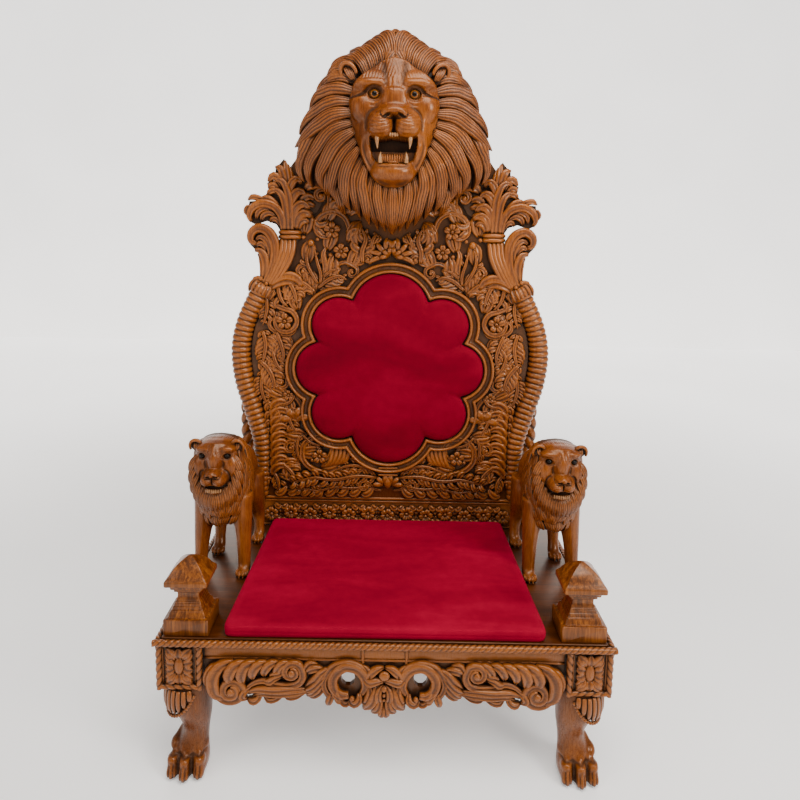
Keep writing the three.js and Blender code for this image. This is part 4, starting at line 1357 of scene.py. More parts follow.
@dataclass
class BackPanel:
    """The pierced back: scrolls, leaves and flowers over a pierced board darkened as painted shade."""

    ground: Ground = Ground(252.0)
    outline: Lobed = Lobed()
    ring: float = 408.0
    ring_step: float = 86.0
    half: tuple[Flat, ...] = ((225, 1845), (285, 1760), (366, 1640), (372, 1560), (366, 1440), (384, 1340),
                              (440, 1236), (499, 1140), (517, 1044), (507, 937), (475, 829), (447, 720),
                              (445, 620), (440, 512))
    right_half: tuple[Ornament, ...] = (
        # palmette below the tip of the mane
        Fan((8, 1366), 8, 72, 88, 12, 5, 18.0, 0.5),
        Fan((6, 1372), 5, 34, 80, 10, 3, 24.0, 0.3),
        Scroll(((150, 1352), (118, 1346), (98, 1352)), (80, 1364), 1.1, 1, 6.5, 17.0, 6.0),
        Leaf(((98, 1352), (100, 1392), (88, 1430), (102, 1468)), 34, 4, 17.0),
        Leaf(((70, 1400), (64, 1430), (50, 1452)), 22, 3, 18.0),
        Lobe(((118, 1400), (130, 1440), (122, 1475), (106, 1490)), 12, 17.0),
        Lobe(((150, 1420), (140, 1450), (118, 1462), (112, 1446)), 11, 18.0),
        # flower inside its scroll
        Scroll(((150, 1420), (146, 1465), (162, 1504), (200, 1522), (240, 1508), (258, 1476)),
               (224, 1466), 0.45, -1, 8.0, 19.0, 0.1, 0.8),
        Flower((203, 1460), 27, 20.0),
        Flower((172, 1390), 25, 20.0),
        Lobe(((262, 1500), (250, 1478), (228, 1478), (214, 1494)), 9, 20.0),
        Lobe(((262, 1470), (240, 1452), (226, 1436)), 9, 18.0),
        Berry((252, 1428), 6, 18.0),
        Berry((274, 1416), 12, 16.0),
        Berry((300, 1434), 7, 16.0),
        Berry((208, 1376), 7, 17.0),
        # volute beside the mane
        Scroll(((268, 1470), (240, 1500), (216, 1530), (211, 1566), (222, 1592)), (240, 1574), 1.0, -1,
               8.5, 20.0, 8.5),
        Lobe(((166, 1560), (182, 1556), (202, 1546), (208, 1520)), 10, 16.0),
        Lobe(((150, 1530), (170, 1528), (190, 1536), (200, 1524)), 9, 15.0),
        Lobe(((222, 1592), (248, 1612), (280, 1606), (296, 1588)), 12, 22.0),
        Lobe(((262, 1562), (280, 1572), (300, 1562), (306, 1540)), 11, 20.0),
        Lobe(((262, 1540), (282, 1546), (302, 1532), (306, 1510)), 11, 19.0),
        Lobe(((270, 1512), (288, 1518), (304, 1502), (304, 1484)), 10, 18.0),
        # spray above the frame
        Scroll(((262, 1244), (240, 1290), (204, 1330), (160, 1352), (122, 1336)), (134, 1318), 1.0, 1,
               6.5, 15.0, 5.5),
        Leaf(((250, 1262), (214, 1292), (176, 1304), (150, 1290)), 30, 5, 13.0, (-1, 1)),
        Leaf(((232, 1300), (206, 1322), (176, 1330)), 18, 3, 15.0),
        Leaf(((243, 1278), (240, 1310), (252, 1352), (262, 1396)), 20, 4, 18.0, (-1,)),
        Leaf(((250, 1278), (280, 1330), (288, 1364), (280, 1400)), 22, 4, 18.0, (1,)),
        Lobe(((206, 1296), (212, 1330), (206, 1362), (196, 1380)), 9, 15.0),
        Lobe(((232, 1290), (226, 1340), (232, 1380), (222, 1402)), 8, 16.0),
        Scroll(((262, 1262), (276, 1316), (302, 1340), (320, 1326)), (302, 1318), 0.9, -1, 8.0, 18.0, 7.0),
        # leaves under the capital, beside the frame
        Leaf(((262, 1248), (288, 1272), (320, 1290), (352, 1296)), 28, 5, 16.0),
        Leaf(((372, 1300), (344, 1274), (328, 1240), (322, 1204)), 34, 5, 16.0),
        Leaf(((388, 1286), (384, 1250), (372, 1216), (352, 1196)), 28, 4, 17.0, (-1, 1)),
        Lobe(((300, 1238), (292, 1256), (270, 1252), (262, 1232)), 9, 15.0),
        Scroll(((410, 1236), (398, 1204), (372, 1190), (338, 1178), (322, 1148)), (364, 1146), 0.6, 1, 8.5,
               18.0, 0.1, 0.75),
        Flower((364, 1146), 27, 19.0),
        Leaf(((428, 1230), (424, 1196), (430, 1160), (440, 1130)), 24, 5, 15.0),
        Scroll(((320, 1130), (340, 1104), (376, 1100), (404, 1114)), (398, 1142), 0.5, 1, 7.0, 15.0, 6.0),
        Leaf(((392, 1108), (378, 1070), (368, 1032), (372, 990)), 28, 5, 15.0, (-1, 1)),
        Scroll(((352, 1096), (340, 1066), (352, 1040), (372, 1036)), (370, 1054), 0.9, 1, 6.0, 14.0, 5.0),
        Leaf(((440, 1110), (430, 1066), (436, 1020), (448, 984)), 30, 6, 14.0),
        Leaf(((405, 1040), (398, 1010), (384, 982), (364, 966)), 24, 4, 16.0),
        Leaf(((448, 1004), (420, 976), (404, 940), (402, 900)), 34, 6, 15.0),
        Scroll(((410, 960), (386, 964), (362, 952), (356, 926)), (378, 928), 1.0, 1, 7.0, 16.0, 6.5),
        Flower((352, 884), 18, 16.0),
        Leaf(((440, 966), (446, 920), (438, 876), (420, 846)), 26, 6, 14.0, (-1, 1)),
        # plume and volute below
        Scroll(((404, 900), (372, 900), (330, 880), (306, 846), (308, 814)), (334, 822), 1.0, 1, 8.0,
               17.0, 8.0),
        Leaf(((330, 886), (346, 862), (372, 852), (398, 862)), 24, 4, 15.0, (-1, 1)),
        Fan((330, 790), 6, 56, 140, 30, 4, 15.0, 0.5),
        Leaf(((360, 850), (352, 806), (336, 770), (318, 742)), 26, 5, 14.0),
        Leaf(((424, 860), (396, 836), (380, 800), (378, 764)), 30, 5, 16.0),
        # lobes stacked down the inner side of the column
        *(Lobe(((352 + 3 * k % 7, 848 - 29 * k), (372, 862 - 29 * k), (394, 858 - 29 * k),
                (408, 838 - 29 * k), (400, 822 - 29 * k)), 12, 17.0, 7.0) for k in range(9)),
        *(Lobe(((412, 840 - 30 * k), (422, 850 - 30 * k), (430, 838 - 30 * k), (427, 820 - 30 * k)), 8,
               14.0, 5.0) for k in range(10)),
        Scroll(((362, 618), (336, 640), (322, 676), (330, 712), (352, 716)), (346, 694), 0.9, -1, 7.5,
               16.0, 6.0),
        # lower scroll with its flower
        Scroll(((150, 622), (200, 604), (262, 614), (300, 650), (300, 700), (270, 730), (226, 734)),
               (240, 690), 0.55, 1, 9.0, 18.0, 0.1, 0.75),
        Flower((242, 666), 25, 19.0),
        *(Lobe(((146 + 13 * k, 726 - 2 * k), (138 + 15 * k, 690 - 3 * k), (150 + 15 * k, 652 - 3 * k),
                (184 + 13 * k, 630 - 2 * k)), 7.5, 14.0 + k, 5.0, 1) for k in range(5)),
        Leaf(((300, 742), (276, 718), (240, 708), (206, 716)), 16, 4, 16.0),
        Leaf(((312, 740), (322, 704), (318, 668), (304, 640)), 20, 4, 14.0, (-1, 1)),
        Berry((268, 652), 6, 18.0),
        # leaves that sweep out from the clasp
        Leaf(((56, 616), (106, 634), (150, 630), (190, 612)), 22, 5, 15.0),
        Leaf(((40, 590), (110, 596), (190, 580), (262, 588), (330, 572), (386, 590)), 24, 11, 16.0, (1, -1),
             (0.8, 1.0, 1.0, 1.0, 0.8)),
        Leaf(((384, 640), (350, 616), (330, 586), (330, 556)), 26, 5, 15.0),
        Leaf(((410, 610), (392, 584), (386, 556), (394, 532)), 22, 4, 14.0),
        Leaf(((60, 560), (120, 548), (190, 552), (250, 536), (300, 544), (366, 534)), 18, 10, 12.0, (1, -1),
             (0.9, 1.0, 1.0, 1.0, 0.9)),
        *(Lobe(((52 + 44 * k, 552), (62 + 44 * k, 536), (78 + 44 * k, 525), (94 + 44 * k, 530)), 10, 12.0)
          for k in range(8)),
        Scroll(((20, 540), (50, 548), (70, 570), (92, 574)), (84, 556), 1.0, -1, 6.0, 14.0, 5.0),
        Fan((10, 560), 4, 44, 82, 20, 3, 17.0, 0.3),
    )

    def over_openings(self) -> list[Ornament]:
        """Pairs of small lobes that cross the pierced openings and leave slits at their sides."""
        half = np.array(self.half)[::-1]
        lobes = []
        for ring in range(3):
            radius = self.ring + self.ring_step * ring
            count = round(math.pi * radius / self.ring_step)
            for i in range(count):
                angle = -math.pi / 2 + math.pi * (i + 0.5) / count
                x, z = radius * math.cos(angle), self.outline.centre + radius * math.sin(angle)
                if 44 < x < np.interp(z, half[:, 1], half[:, 0]) - 40 and 545 < z < 1560:
                    c, s = math.cos(angle + 0.7), math.sin(angle + 0.7)
                    for shift, bend in ((-9, 1), (9, -1)):
                        path = [(x + u * c - (shift + v * bend) * s, z + u * s + (shift + v * bend) * c)
                                for u, v in ((-40, 6), (-14, -3), (14, -2), (36, 9))]
                        lobes.append(Lobe(tuple(path), 10.5, 11.0))
        return lobes

    def clasp(self, carving: Carving) -> None:
        """Adds the clasp at the middle of the bottom: two bars over a drop."""
        for height, half, radius in ((628, 34, 5.0), (616, 36, 6.5), (603, 34, 5.0)):
            path = np.column_stack([np.linspace(-half, half, 16), np.full(16, self.ground.y - 20),
                                    np.full(16, height)])
            round_bar(carving, path, radius * np.sin(np.linspace(0.35, math.pi - 0.35, 16)) ** 0.3, 12, None,
                      (0, 0, 1))
        ball(carving, (0, self.ground.y - 14, 576), (15, 12, 24), 16, 10)

    def build(self, finishes: Finishes) -> None:
        """Makes the panel and dresses it."""
        carving = Carving()
        carve_all(carving, self.ground, (*self.right_half, *self.over_openings()))
        carving.mirror()
        self.clasp(carving)
        relief = dressed(carving.make("panel_relief"), finishes.carved)
        board = dressed(copy_of("back_panel", "panel_board"), finishes.ground)
        board.data.materials.append(finishes.dark)
        for polygon in board.data.polygons:
            polygon.material_index = int(polygon.normal.y > 0.5)
        tie(joined("back_panel_carved", [relief, board]), "back_panel")


# ---- Crest: the roaring lion ---------------------------------------------------------------------
@dataclass(frozen=True)
class Dome:
    """A rounded form seen from the front: its middle, how far back it sits and its three radii."""

    x: float
    z: float
    y: float
    across: float
    deep: float
    tall: float

    def front(self, x: np.ndarray, z: np.ndarray) -> np.ndarray:
        """How far forward the form reaches at each place."""
        r = ((x - self.x) / self.across) ** 2 + ((z - self.z) / self.tall) ** 2
        return -self.y + self.deep * np.sqrt(np.clip(1 - r, 0, 1)) - 46 * np.clip(np.sqrt(r) - 1, 0, 3)


def merged(heights: Sequence[np.ndarray], soft: float) -> np.ndarray:
    """The highest of several surfaces, with soft valleys between them."""
    stack = np.stack(heights) / soft
    top = stack.max(axis=0)
    return soft * (top + np.log(np.exp(stack - top).sum(axis=0)))


def line_distance(x: np.ndarray, z: np.ndarray, points: Sequence[Flat]) -> tuple[np.ndarray, np.ndarray]:
    """Distance to a curve, and the share of the way along it.

    Args:
        x: Places across.
        z: Places up.
        points: Points that the curve passes through.

    Returns:
        The distances and the shares from 0 to 1.
    """
    samples = 48
    line = even_spline(points, samples)
    best = np.full(x.shape, 1e9)
    share = np.zeros(x.shape)
    for k, (px, pz) in enumerate(line):
        d = (x - px) ** 2 + (z - pz) ** 2
        closer = d < best
        best = np.where(closer, d, best)
        share = np.where(closer, k / (samples - 1), share)
    return np.sqrt(best), share


@dataclass(frozen=True)
class Cut:
    """A line carved into, or raised on, a surface seen from the front."""

    points: tuple[Flat, ...]
    width: float
    depth: float
    fade: float = 0.25

    def apply(self, x: np.ndarray, z: np.ndarray) -> np.ndarray:
        """How much the surface sinks at each place."""
        d, share = line_distance(x, z, self.points)
        ends = np.clip(np.minimum(share, 1 - share) / max(self.fade, 1e-3), 0, 1) ** 0.7
        return self.depth * bell(d, self.width) * ends


def in_polygon(x: np.ndarray, z: np.ndarray, outline: np.ndarray) -> np.ndarray:
    """Whether each place lies inside a closed outline."""
    inside = np.zeros(x.shape, dtype=bool)
    for (x0, z0), (x1, z1) in zip(outline, np.roll(outline, -1, axis=0)):
        crosses = (z0 > z) != (z1 > z)
        if z1 != z0:
            inside ^= crosses & (x < (x1 - x0) * (z - z0) / (z1 - z0) + x0)
    return inside


def face_shell(name: str, surface: Callable, outline: Sequence[Flat], middle: Flat, rear: float,
               rings: int = 84, around: int = 250) -> bpy.types.Object:
    """Makes a face from rings that spread from its middle to just past its outline.

    Args:
        name: The object's name.
        surface: Gives the forward reach and the shade at places across and up.
        outline: The right half of the face's outline, from the top down.
        middle: Where the rings start: how far the face stands off the plane X = 0, and its height.
        rear: The depth Y of the flat back.
        rings: How many rings there are.
        around: How many points go round each ring.

    Returns:
        The face as one closed shell.
    """
    half = even_spline(outline, 120)
    loop = np.vstack([half, (half[1:-1] * [-1, 1])[::-1]])
    loop = even_spline(np.vstack([loop, loop[:1]]), around + 1)[:-1]
    share = np.concatenate([[0.004], np.linspace(0.02, 1.07, rings)])[:, None]
    x = loop[None, :, 0] * share
    z = middle[1] + (loop[None, :, 1] - middle[1]) * share
    front, shade = surface(x, z)
    face = np.stack([x + middle[0], -front, z], -1)
    back = face[-1:].copy()
    back[..., 1] = rear
    carving = Carving()
    carving.shell(np.concatenate([face, back]), np.concatenate([shade, np.ones((1, around))]))
    return carving.make(name)


def outline_gap(x: np.ndarray, z: np.ndarray, half: Sequence[Flat],
                samples: int) -> tuple[np.ndarray, np.ndarray]:
    """Measures places against an outline that is given by its right half.

    Args:
        x: Places across.
        z: Places up.
        half: Points of the right half, from one end on the middle line to the other.
        samples: How many points are set along the half.

    Returns:
        The distance to the outline, and whether each place is inside it.
    """
    right = even_spline(half, samples)
    outline = np.vstack([right, (right * [-1, 1])[::-1]])
    gap = np.minimum.reduce([np.hypot(x - px, z - pz) for px, pz in outline])
    return gap, in_polygon(x, z, outline)


@dataclass
class Face:
    """A lion's face seen from the front: rounded forms, carved lines, eyes and an opening for the mouth."""

    centre: float
    middle: float
    rear: float
    eye: Flat
    eye_depth: float
    eye_radii: Point
    outline: tuple[Flat, ...]
    domes: tuple[Dome, ...]
    pairs: tuple[Dome, ...]
    cuts: tuple[Cut, ...]
    mouth: tuple[Flat, ...]

    def raised(self, x: np.ndarray, z: np.ndarray, soft: float) -> np.ndarray:
        """How far forward the rounded forms reach, with soft valleys between them."""
        side = np.abs(x)
        return merged([d.front(x, z) for d in self.domes] + [d.front(side, z) for d in self.pairs], soft)

    def carved(self, x: np.ndarray, z: np.ndarray) -> np.ndarray:
        """How far the carved lines sink the surface."""
        return sum(cut.apply(np.abs(x), z) for cut in self.cuts)

    def rounded_off(self, front: np.ndarray, x: np.ndarray, z: np.ndarray, slope: float, bend: float,
                    samples: int) -> np.ndarray:
        """The surface, falling back more and more steeply past the face's outline."""
        gap, inside = outline_gap(x, z, self.outline, samples)
        out = np.where(inside, 0, gap)
        return front - slope * out - bend * out**2

    def eyes(self, around: int, up: int) -> bpy.types.Object:
        """Makes the two eyeballs."""
        carving = Carving()
        for sign in (-1, 1):
            place = (self.centre + sign * self.eye[0], self.eye_depth, self.eye[1])
            ball(carving, place, self.eye_radii, around, up)
        return carving.make("eyes")


@dataclass
class CrestFace(Face):
    """The crest's face: brows, eyes, nose, whisker pads, open mouth with fangs, and chin."""

    centre: float = 0.0
    middle: float = 1800.0
    rear: float = 190.0
    eye: Flat = (61.0, 1877.0)
    eye_depth: float = 82.0
    eye_radii: Point = (19.0, 18.0, 18.0)
    outline: tuple[Flat, ...] = ((0, 1990), (34, 1980), (66, 1958), (96, 1934), (121, 1906), (138, 1872),
                                 (140, 1830), (131, 1784), (112, 1724), (90, 1677), (70, 1636), (40, 1606),
                                 (0, 1594))
    domes: tuple[Dome, ...] = (
        Dome(0, 1862, 128, 144, 72, 126), Dome(0, 1740, 128, 112, 66, 142), Dome(0, 1930, 108, 66, 34, 84),
        Dome(0, 1802, 86, 66, 46, 50), Dome(0, 1850, 84, 46, 34, 92), Dome(0, 1644, 102, 74, 58, 50),
        Dome(0, 1822, 36, 38, 27, 16))
    pairs: tuple[Dome, ...] = (
        Dome(72, 1916, 84, 60, 26, 34), Dome(40, 1779, 48, 41, 44, 40), Dome(98, 1838, 94, 38, 34, 50),
        Dome(25, 1814, 36, 19, 20, 13), Dome(80, 1722, 94, 26, 26, 80), Dome(66, 1908, 70, 46, 17, 14))
    cuts: tuple[Cut, ...] = (
        Cut(((34, 1976), (31, 1944), (25, 1914), (30, 1894)), 8.0, 4.2, 0.12),
        Cut(((11, 1930), (9, 1912), (13, 1896)), 3.2, 2.4, 0.3),
        Cut(((0, 1890), (14, 1892), (27, 1886)), 3.0, 1.6, 0.2),
        Cut(((36, 1880), (46, 1893), (62, 1898), (80, 1892), (94, 1880), (112, 1872), (142, 1868)),
            4.2, 8.5, 0.3),
        Cut(((84, 1872), (100, 1872), (120, 1870), (146, 1868)), 2.0, 4.5, 0.05),
        Cut(((34, 1886), (40, 1868), (52, 1858), (70, 1858), (84, 1868)), 3.4, 4.0, 0.2),
        Cut(((36, 1864), (44, 1850), (58, 1842), (76, 1842)), 3.5, 2.2, 0.3),
        Cut(((40, 1838), (60, 1832), (78, 1816), (86, 1790), (84, 1756)), 5.0, 5.5, 0.2),
        Cut(((0, 1806), (1, 1790), (0, 1764), (6, 1750)), 3.2, 13.0, 0.15),
        Cut(((37, 1826), (42, 1812), (34, 1800), (14, 1798), (0, 1802)), 2.8, 5.0, 0.2),
        Cut(((88, 1748), (92, 1716), (80, 1676), (60, 1650)), 4.5, 5.0),
        Cut(((0, 1657), (30, 1657), (54, 1664)), 3.0, 3.6, 0.3),
        Cut(((0, 1667), (30, 1668), (52, 1676)), 1.6, 2.0, 0.3),
        Cut(((0, 1604), (28, 1608), (54, 1622)), 6.0, 6.0, 0.4))
    mouth: tuple[Flat, ...] = ((0, 1747), (24, 1744), (46, 1741), (66, 1748), (74, 1744), (72, 1716),
                               (62, 1684), (46, 1672), (22, 1669), (0, 1668))
    hair_line: float = 1914.0
    lip_top: float = 1725.0
    tongue_top: float = 1706.0
    tongue: float = -86.0
    throat: float = -150.0

    def surface(self, x: np.ndarray, z: np.ndarray) -> tuple[np.ndarray, np.ndarray]:
        """How far forward the face reaches, and how deep in the carving each place lies."""
        side = np.abs(x)
        front = self.raised(x, z, 7.5)
        sunk = self.carved(x, z)
        ex, ez = self.eye
        socket = np.hypot((side - ex) / 1.25, z - ez)
        front = front - 17 * np.exp(-((socket / 18.0) ** 4))
        front = front + 5.0 * bell(socket - 18.5, 2.8)
        pad = np.exp(-(np.hypot((side - 44) / 40, (z - 1778) / 40) ** 6))
        arc = np.hypot(side - 46, (z - 1846) * 0.92)
        sunk = sunk + 1.9 * pad * (0.5 - 0.5 * np.cos(2 * np.pi * arc / 10.5)) ** 3 * (arc > 34)
        nostril = np.hypot((side - 23 + 0.35 * (z - 1806)) / 9.5, (z - 1806 + 0.4 * (side - 23)) / 4.6)
        sunk = sunk + 11 * np.exp(-(nostril**4))
        sunk = sunk + 2.8 * np.clip((z - self.hair_line) / 25, 0, 1) * np.abs(
            np.sin((side + (z - self.hair_line - 16) * 0.3) / 3.0))
        gap, inside = outline_gap(x, z, self.mouth, 40)
        lip = np.where(inside, 0, 3.5 * bell(gap - 6, 4.5) * (z < self.lip_top))
        hole = np.where(inside, 1 - bell(gap, 2.2), 0)
        floor = np.where(z < self.tongue_top, self.tongue, self.throat)
        front = (front - sunk + lip) * (1 - hole) + np.minimum(floor, front) * hole
        front = self.rounded_off(front, x, z, 2.6, 0.08, 60)
        lid = 0.7 * bell(socket - 19, 3.5) * (z > ez)
        shade = np.clip(sunk / 5.5, 0, 1) * 0.9 + hole + lid
        return np.maximum(front, -self.rear + 6), np.clip(shade, 0, 1)

    def build(self) -> bpy.types.Object:
        """Makes the face as one closed shell."""
        return face_shell("crest_face", self.surface, self.outline, (self.centre, self.middle), self.rear)

    def teeth(self) -> bpy.types.Object:
        """Makes the fangs, the canines and the small teeth between them."""
        carving = Carving()
        for sign in (-1, 1):
            for x, y, top, tip, width in ((50, 34, 1756, 1709, 7.5), (40, 52, 1670, 1703, 7.0)):
                path = [(sign * x, y + 4, top), (sign * x * 1.01, y, (top + tip) / 2),
                        (sign * x * 0.97, y + 3, tip)]
                round_bar(carving, spline(path, 9), spline((width, width * 0.75, 1.0), 9), 12)
            for k in range(2):
                x = sign * (4 + 7 * k)
                round_bar(carving, spline([(x, 34, 1756), (x, 33, 1750), (x, 35, 1745 + k)], 6),
                          spline((3.8, 3.6, 1.5), 6), 10)
        return carving.make("crest_teeth")

    def lower_teeth(self) -> bpy.types.Object:
        """Makes the row of small lower teeth on their gum."""
        carving = Carving()
        ball(carving, (0, 84, 1672), (44, 26, 13), 24, 12)
        for k in range(10):
            x = -33 + 7.4 * k
            round_bar(carving, spline([(x, 64, 1670), (x, 61, 1684), (x, 63, 1696)], 6),
                      spline((4.2, 3.8, 1.8), 6), 10)
        return carving.make("crest_lower_teeth")


@dataclass(frozen=True)
class Lock:
    """A lock of the mane: its course on the mane, half width, strands and how far it stands out."""

    course: tuple[Flat, ...]
    width: float
    strands: int = 4
    lift: float = 0.0
    wave: float = 2.5
    shape: tuple[float, ...] = (0.55, 1.0, 1.05, 0.8, 0.08)
    samples: int = 20


ROUND_TIP = (0.75, 1.0, 1.0, 0.95, 0.55)


@dataclass
class Crest:
    """The crest: the face in its mane of long, grooved locks."""

    face: CrestFace = field(default_factory=CrestFace)
    middle: float = 1780.0
    rim: tuple[Flat, ...] = (
        (0, 2093), (30, 2087), (58, 2068), (90, 2050), (119, 2036), (154, 1998), (202, 1968), (222, 1921),
        (258, 1886), (276, 1836), (300, 1796), (316, 1735), (300, 1690), (302, 1638), (268, 1602),
        (212, 1570), (178, 1526), (128, 1514), (66, 1482), (0, 1460))
    ear: Point = (143.0, 112.0, 1946.0)
    locks: tuple[Lock, ...] = (
        # crown
        Lock(((52, 1960), (64, 2004), (90, 2030), (128, 2022)), 17, 4, 2.0, 0.0),
        Lock(((34, 1970), (46, 2020), (72, 2048), (112, 2040)), 17, 4, 5.0, 0.0),
        Lock(((18, 1978), (26, 2030), (50, 2062), (90, 2051)), 17, 4, 8.0, 0.0),
        Lock(((4, 1990), (8, 2040), (26, 2074), (68, 2064)), 16, 4, 11.0, 0.0),
        # above the ear
        Lock(((68, 1952), (84, 1994), (110, 2022), (142, 2024)), 17, 4, 4.0, 0.0, ROUND_TIP),
        Lock(((86, 1940), (104, 1976), (130, 2004), (162, 2006)), 16, 4, 6.0, 0.0, ROUND_TIP),
        Lock(((122, 1986), (152, 2000), (184, 1992), (208, 1966)), 15, 4, 5.0),
        Lock(((150, 1984), (176, 1984), (198, 1966), (216, 1938)), 14, 4, 7.0),
        Lock(((166, 1962), (188, 1960), (208, 1944), (224, 1914)), 13, 3, 8.0),
        Lock(((164, 1936), (188, 1940), (212, 1928), (234, 1900)), 13, 3, 9.0),
        # beside the brow
        Lock(((132, 1926), (180, 1938), (222, 1926), (254, 1886)), 19, 4, 4.0),
        Lock(((138, 1892), (186, 1900), (236, 1884), (272, 1836)), 21, 4, 10.0, 4.0),
        # beside the cheek
        Lock(((140, 1858), (194, 1858), (248, 1832), (290, 1788), (304, 1764)), 22, 4, 5.0, 4.0),
        Lock(((140, 1824), (192, 1816), (244, 1786), (286, 1744), (318, 1724)), 23, 5, 12.0, 5.0),
        # long outer locks
        Lock(((246, 1768), (284, 1722), (300, 1668), (290, 1616)), 21, 4, 3.0, 5.0),
        Lock(((140, 1792), (186, 1776), (230, 1736), (262, 1680), (268, 1626), (260, 1596)), 22, 5, 8.0, 6.0),
        Lock(((136, 1762), (172, 1738), (206, 1696), (228, 1640), (222, 1586)), 22, 5, 14.0, 6.0),
        Lock(((204, 1650), (212, 1606), (204, 1564)), 17, 4, 3.0),
        # wavy locks along the jaw
        Lock(((128, 1732), (158, 1700), (184, 1656), (192, 1606), (178, 1550)), 21, 5, 9.0, 5.0),
        Lock(((116, 1704), (140, 1668), (156, 1622), (150, 1574), (134, 1522)), 20, 5, 16.0, 5.0),
        Lock(((174, 1588), (168, 1550), (154, 1514)), 16, 4, 3.0),
        Lock(((102, 1676), (120, 1636), (124, 1590), (112, 1544), (104, 1500)), 19, 4, 11.0, 4.0),
        # beard
        Lock(((88, 1650), (98, 1606), (90, 1558), (78, 1512), (72, 1478)), 18, 4, 18.0, 4.0),
        Lock(((66, 1624), (74, 1580), (64, 1530), (50, 1492), (46, 1464)), 17, 4, 12.0, 3.0),
        Lock(((46, 1608), (48, 1564), (38, 1516), (26, 1480), (22, 1458)), 16, 4, 19.0, 3.0),
        Lock(((20, 1600), (24, 1560), (18, 1510), (8, 1476), (2, 1450)), 16, 4, 15.0, 2.0),
        Lock(((2, 1604), (3, 1560), (2, 1500), (0, 1450)), 15, 4, 21.0, 0.0))

    def dome(self, x: np.ndarray, z: np.ndarray) -> np.ndarray:
        """The depth Y of the mane's rounded surface at each place."""
        rim = np.array(self.rim)
        angle = np.arctan2(rim[:, 1] - self.middle, rim[:, 0])
        reach = np.hypot(rim[:, 0], rim[:, 1] - self.middle)
        order = np.argsort(angle)
        here = np.arctan2(z - self.middle, np.abs(x))
        share = np.hypot(x, z - self.middle) / np.interp(here, angle[order], reach[order])
        return np.interp(share, (0.0, 0.4, 0.6, 0.8, 0.93, 1.0, 1.1), (118, 120, 126, 140, 158, 180, 202))

    def lay(self, carving: Carving, lock: Lock) -> None:
        """Adds one lock that hugs the mane's surface."""
        count = lock.samples
        course = np.array(lock.course, dtype=float)
        if lock.wave > 0:
            course[0] = course[0] - 16 * unit(course[1] - course[0])
        flat = even_spline(course, count)
        x, z = flat[:, 0], flat[:, 1]
        run = np.linspace(0, 1, count)
        sway = lock.wave * np.sin(3 * math.pi * run) * run
        along = unit(np.gradient(flat, axis=0))
        x, z = x - along[:, 1] * sway, z + along[:, 0] * sway
        y = self.dome(x, z) - 1.35 * lock.lift - 8 * np.sin(np.linspace(0.25, math.pi, count))
        gx = (self.dome(x + 3, z) - self.dome(x - 3, z)) / 6
        gz = (self.dome(x, z + 3) - self.dome(x, z - 3)) / 6
        up = unit(np.column_stack([gx, -np.ones(count), gz]))
        path = np.column_stack([x, y, z])
        Blade(lock.width, lock.width * 0.78, 34.0, lock.strands, 3.3, lock.shape, count, 5, sharp=0.6).carve(
            carving, path, up, even=False)
        away = unit(np.cross(up, np.gradient(path, axis=0)))
        for shift, start, stop in ((-0.72, 2, 17), (0.7, 4, 19)):
            strand = path + away * (shift * lock.width * spline(lock.shape, count))[:, None] - up * 2.5
            Blade(0.3 * lock.width, 0.3 * lock.width, 20.0, 2, 1.8, (0.4, 1.0, 1.0, 0.8, 0.1), stop - start,
                  4).carve(carving, strand[start:stop], up[start:stop], even=False)

    def chevrons(self, carving: Carving) -> None:
        """Adds the short strands that meet in a point above the brow."""
        for k in range(8):
            z = 2086 - 18 * k
            points = [(0, self.dome(np.array([0.0]), np.array([float(z)]))[0] - 26, z)]
            for x, drop, lift in ((12, 16, 26), (24, 42, 24), (32, 70, 18)):
                y = self.dome(np.array([float(x)]), np.array([float(z - drop)]))[0]
                points.append((x, y - lift, z - drop))
            Blade(9.0, 4.5, 26.0, 2, 2.0, (0.7, 1.0, 0.9, 0.2), 12, 4).carve(carving, points)

    def ears(self, carving: Carving) -> None:
        """Adds the round ears, each a rolled rim about a hollow with a tuft in it."""
        ex, ey, ez = self.ear
        tilt = math.radians(-34)
        rim = []
        for a in np.linspace(-0.9, math.pi + 0.6, 26):
            u, v = 22 * math.cos(a), 31 * math.sin(a)
            rim.append((ex + u * math.cos(tilt) - v * math.sin(tilt), ey + 9 * math.cos(a),
                        ez + u * math.sin(tilt) + v * math.cos(tilt)))
        round_bar(carving, np.array(rim), 7.0 * np.sin(np.linspace(0.45, math.pi - 0.45, 26)) ** 0.5, 12)
        # The ear's hollow, in painted shade.
        ball(carving, (ex, ey + 20, ez), (25, 14, 30), 16, 10, 0.95)
        for shift in (-9, -1, 7):
            Blade(6.0, 4.5, 12.0, 2, 1.8, (0.5, 1.0, 0.9, 0.2), 10, 4).carve(
                carving, [(ex + 9 + shift, ey + 8, ez + 24), (ex - 2 + shift, ey - 4, ez),
                          (ex - 15 + shift * 0.6, ey - 6, ez - 24)])

    def body(self) -> Carving:
        """The rounded form under the locks, back to the panel, wholly in painted shade."""
        rim = np.array(self.rim)
        loop = np.vstack([rim, (rim[1:-1] * [-1, 1])[::-1]])
        loop = even_spline(np.vstack([loop, loop[:1]]), 145)[:-1]
        rings = []
        for share, y in ((0.86, 213.5), (0.95, 204), (0.965, 190), (0.93, 172), (0.8, 152), (0.6, 138),
                         (0.4, 132), (0.1, 130)):
            flat = loop * share + np.array([0, self.middle * (1 - share)])
            rings.append(np.column_stack([flat[:, 0], np.full(len(flat), y), flat[:, 1]]))
        carving = Carving()
        carving.shell(np.stack(rings), np.ones((len(rings), len(loop))))
        ball(carving, (0, 224, 1780), (150, 24, 200), 32, 16, 1.0)
        return carving

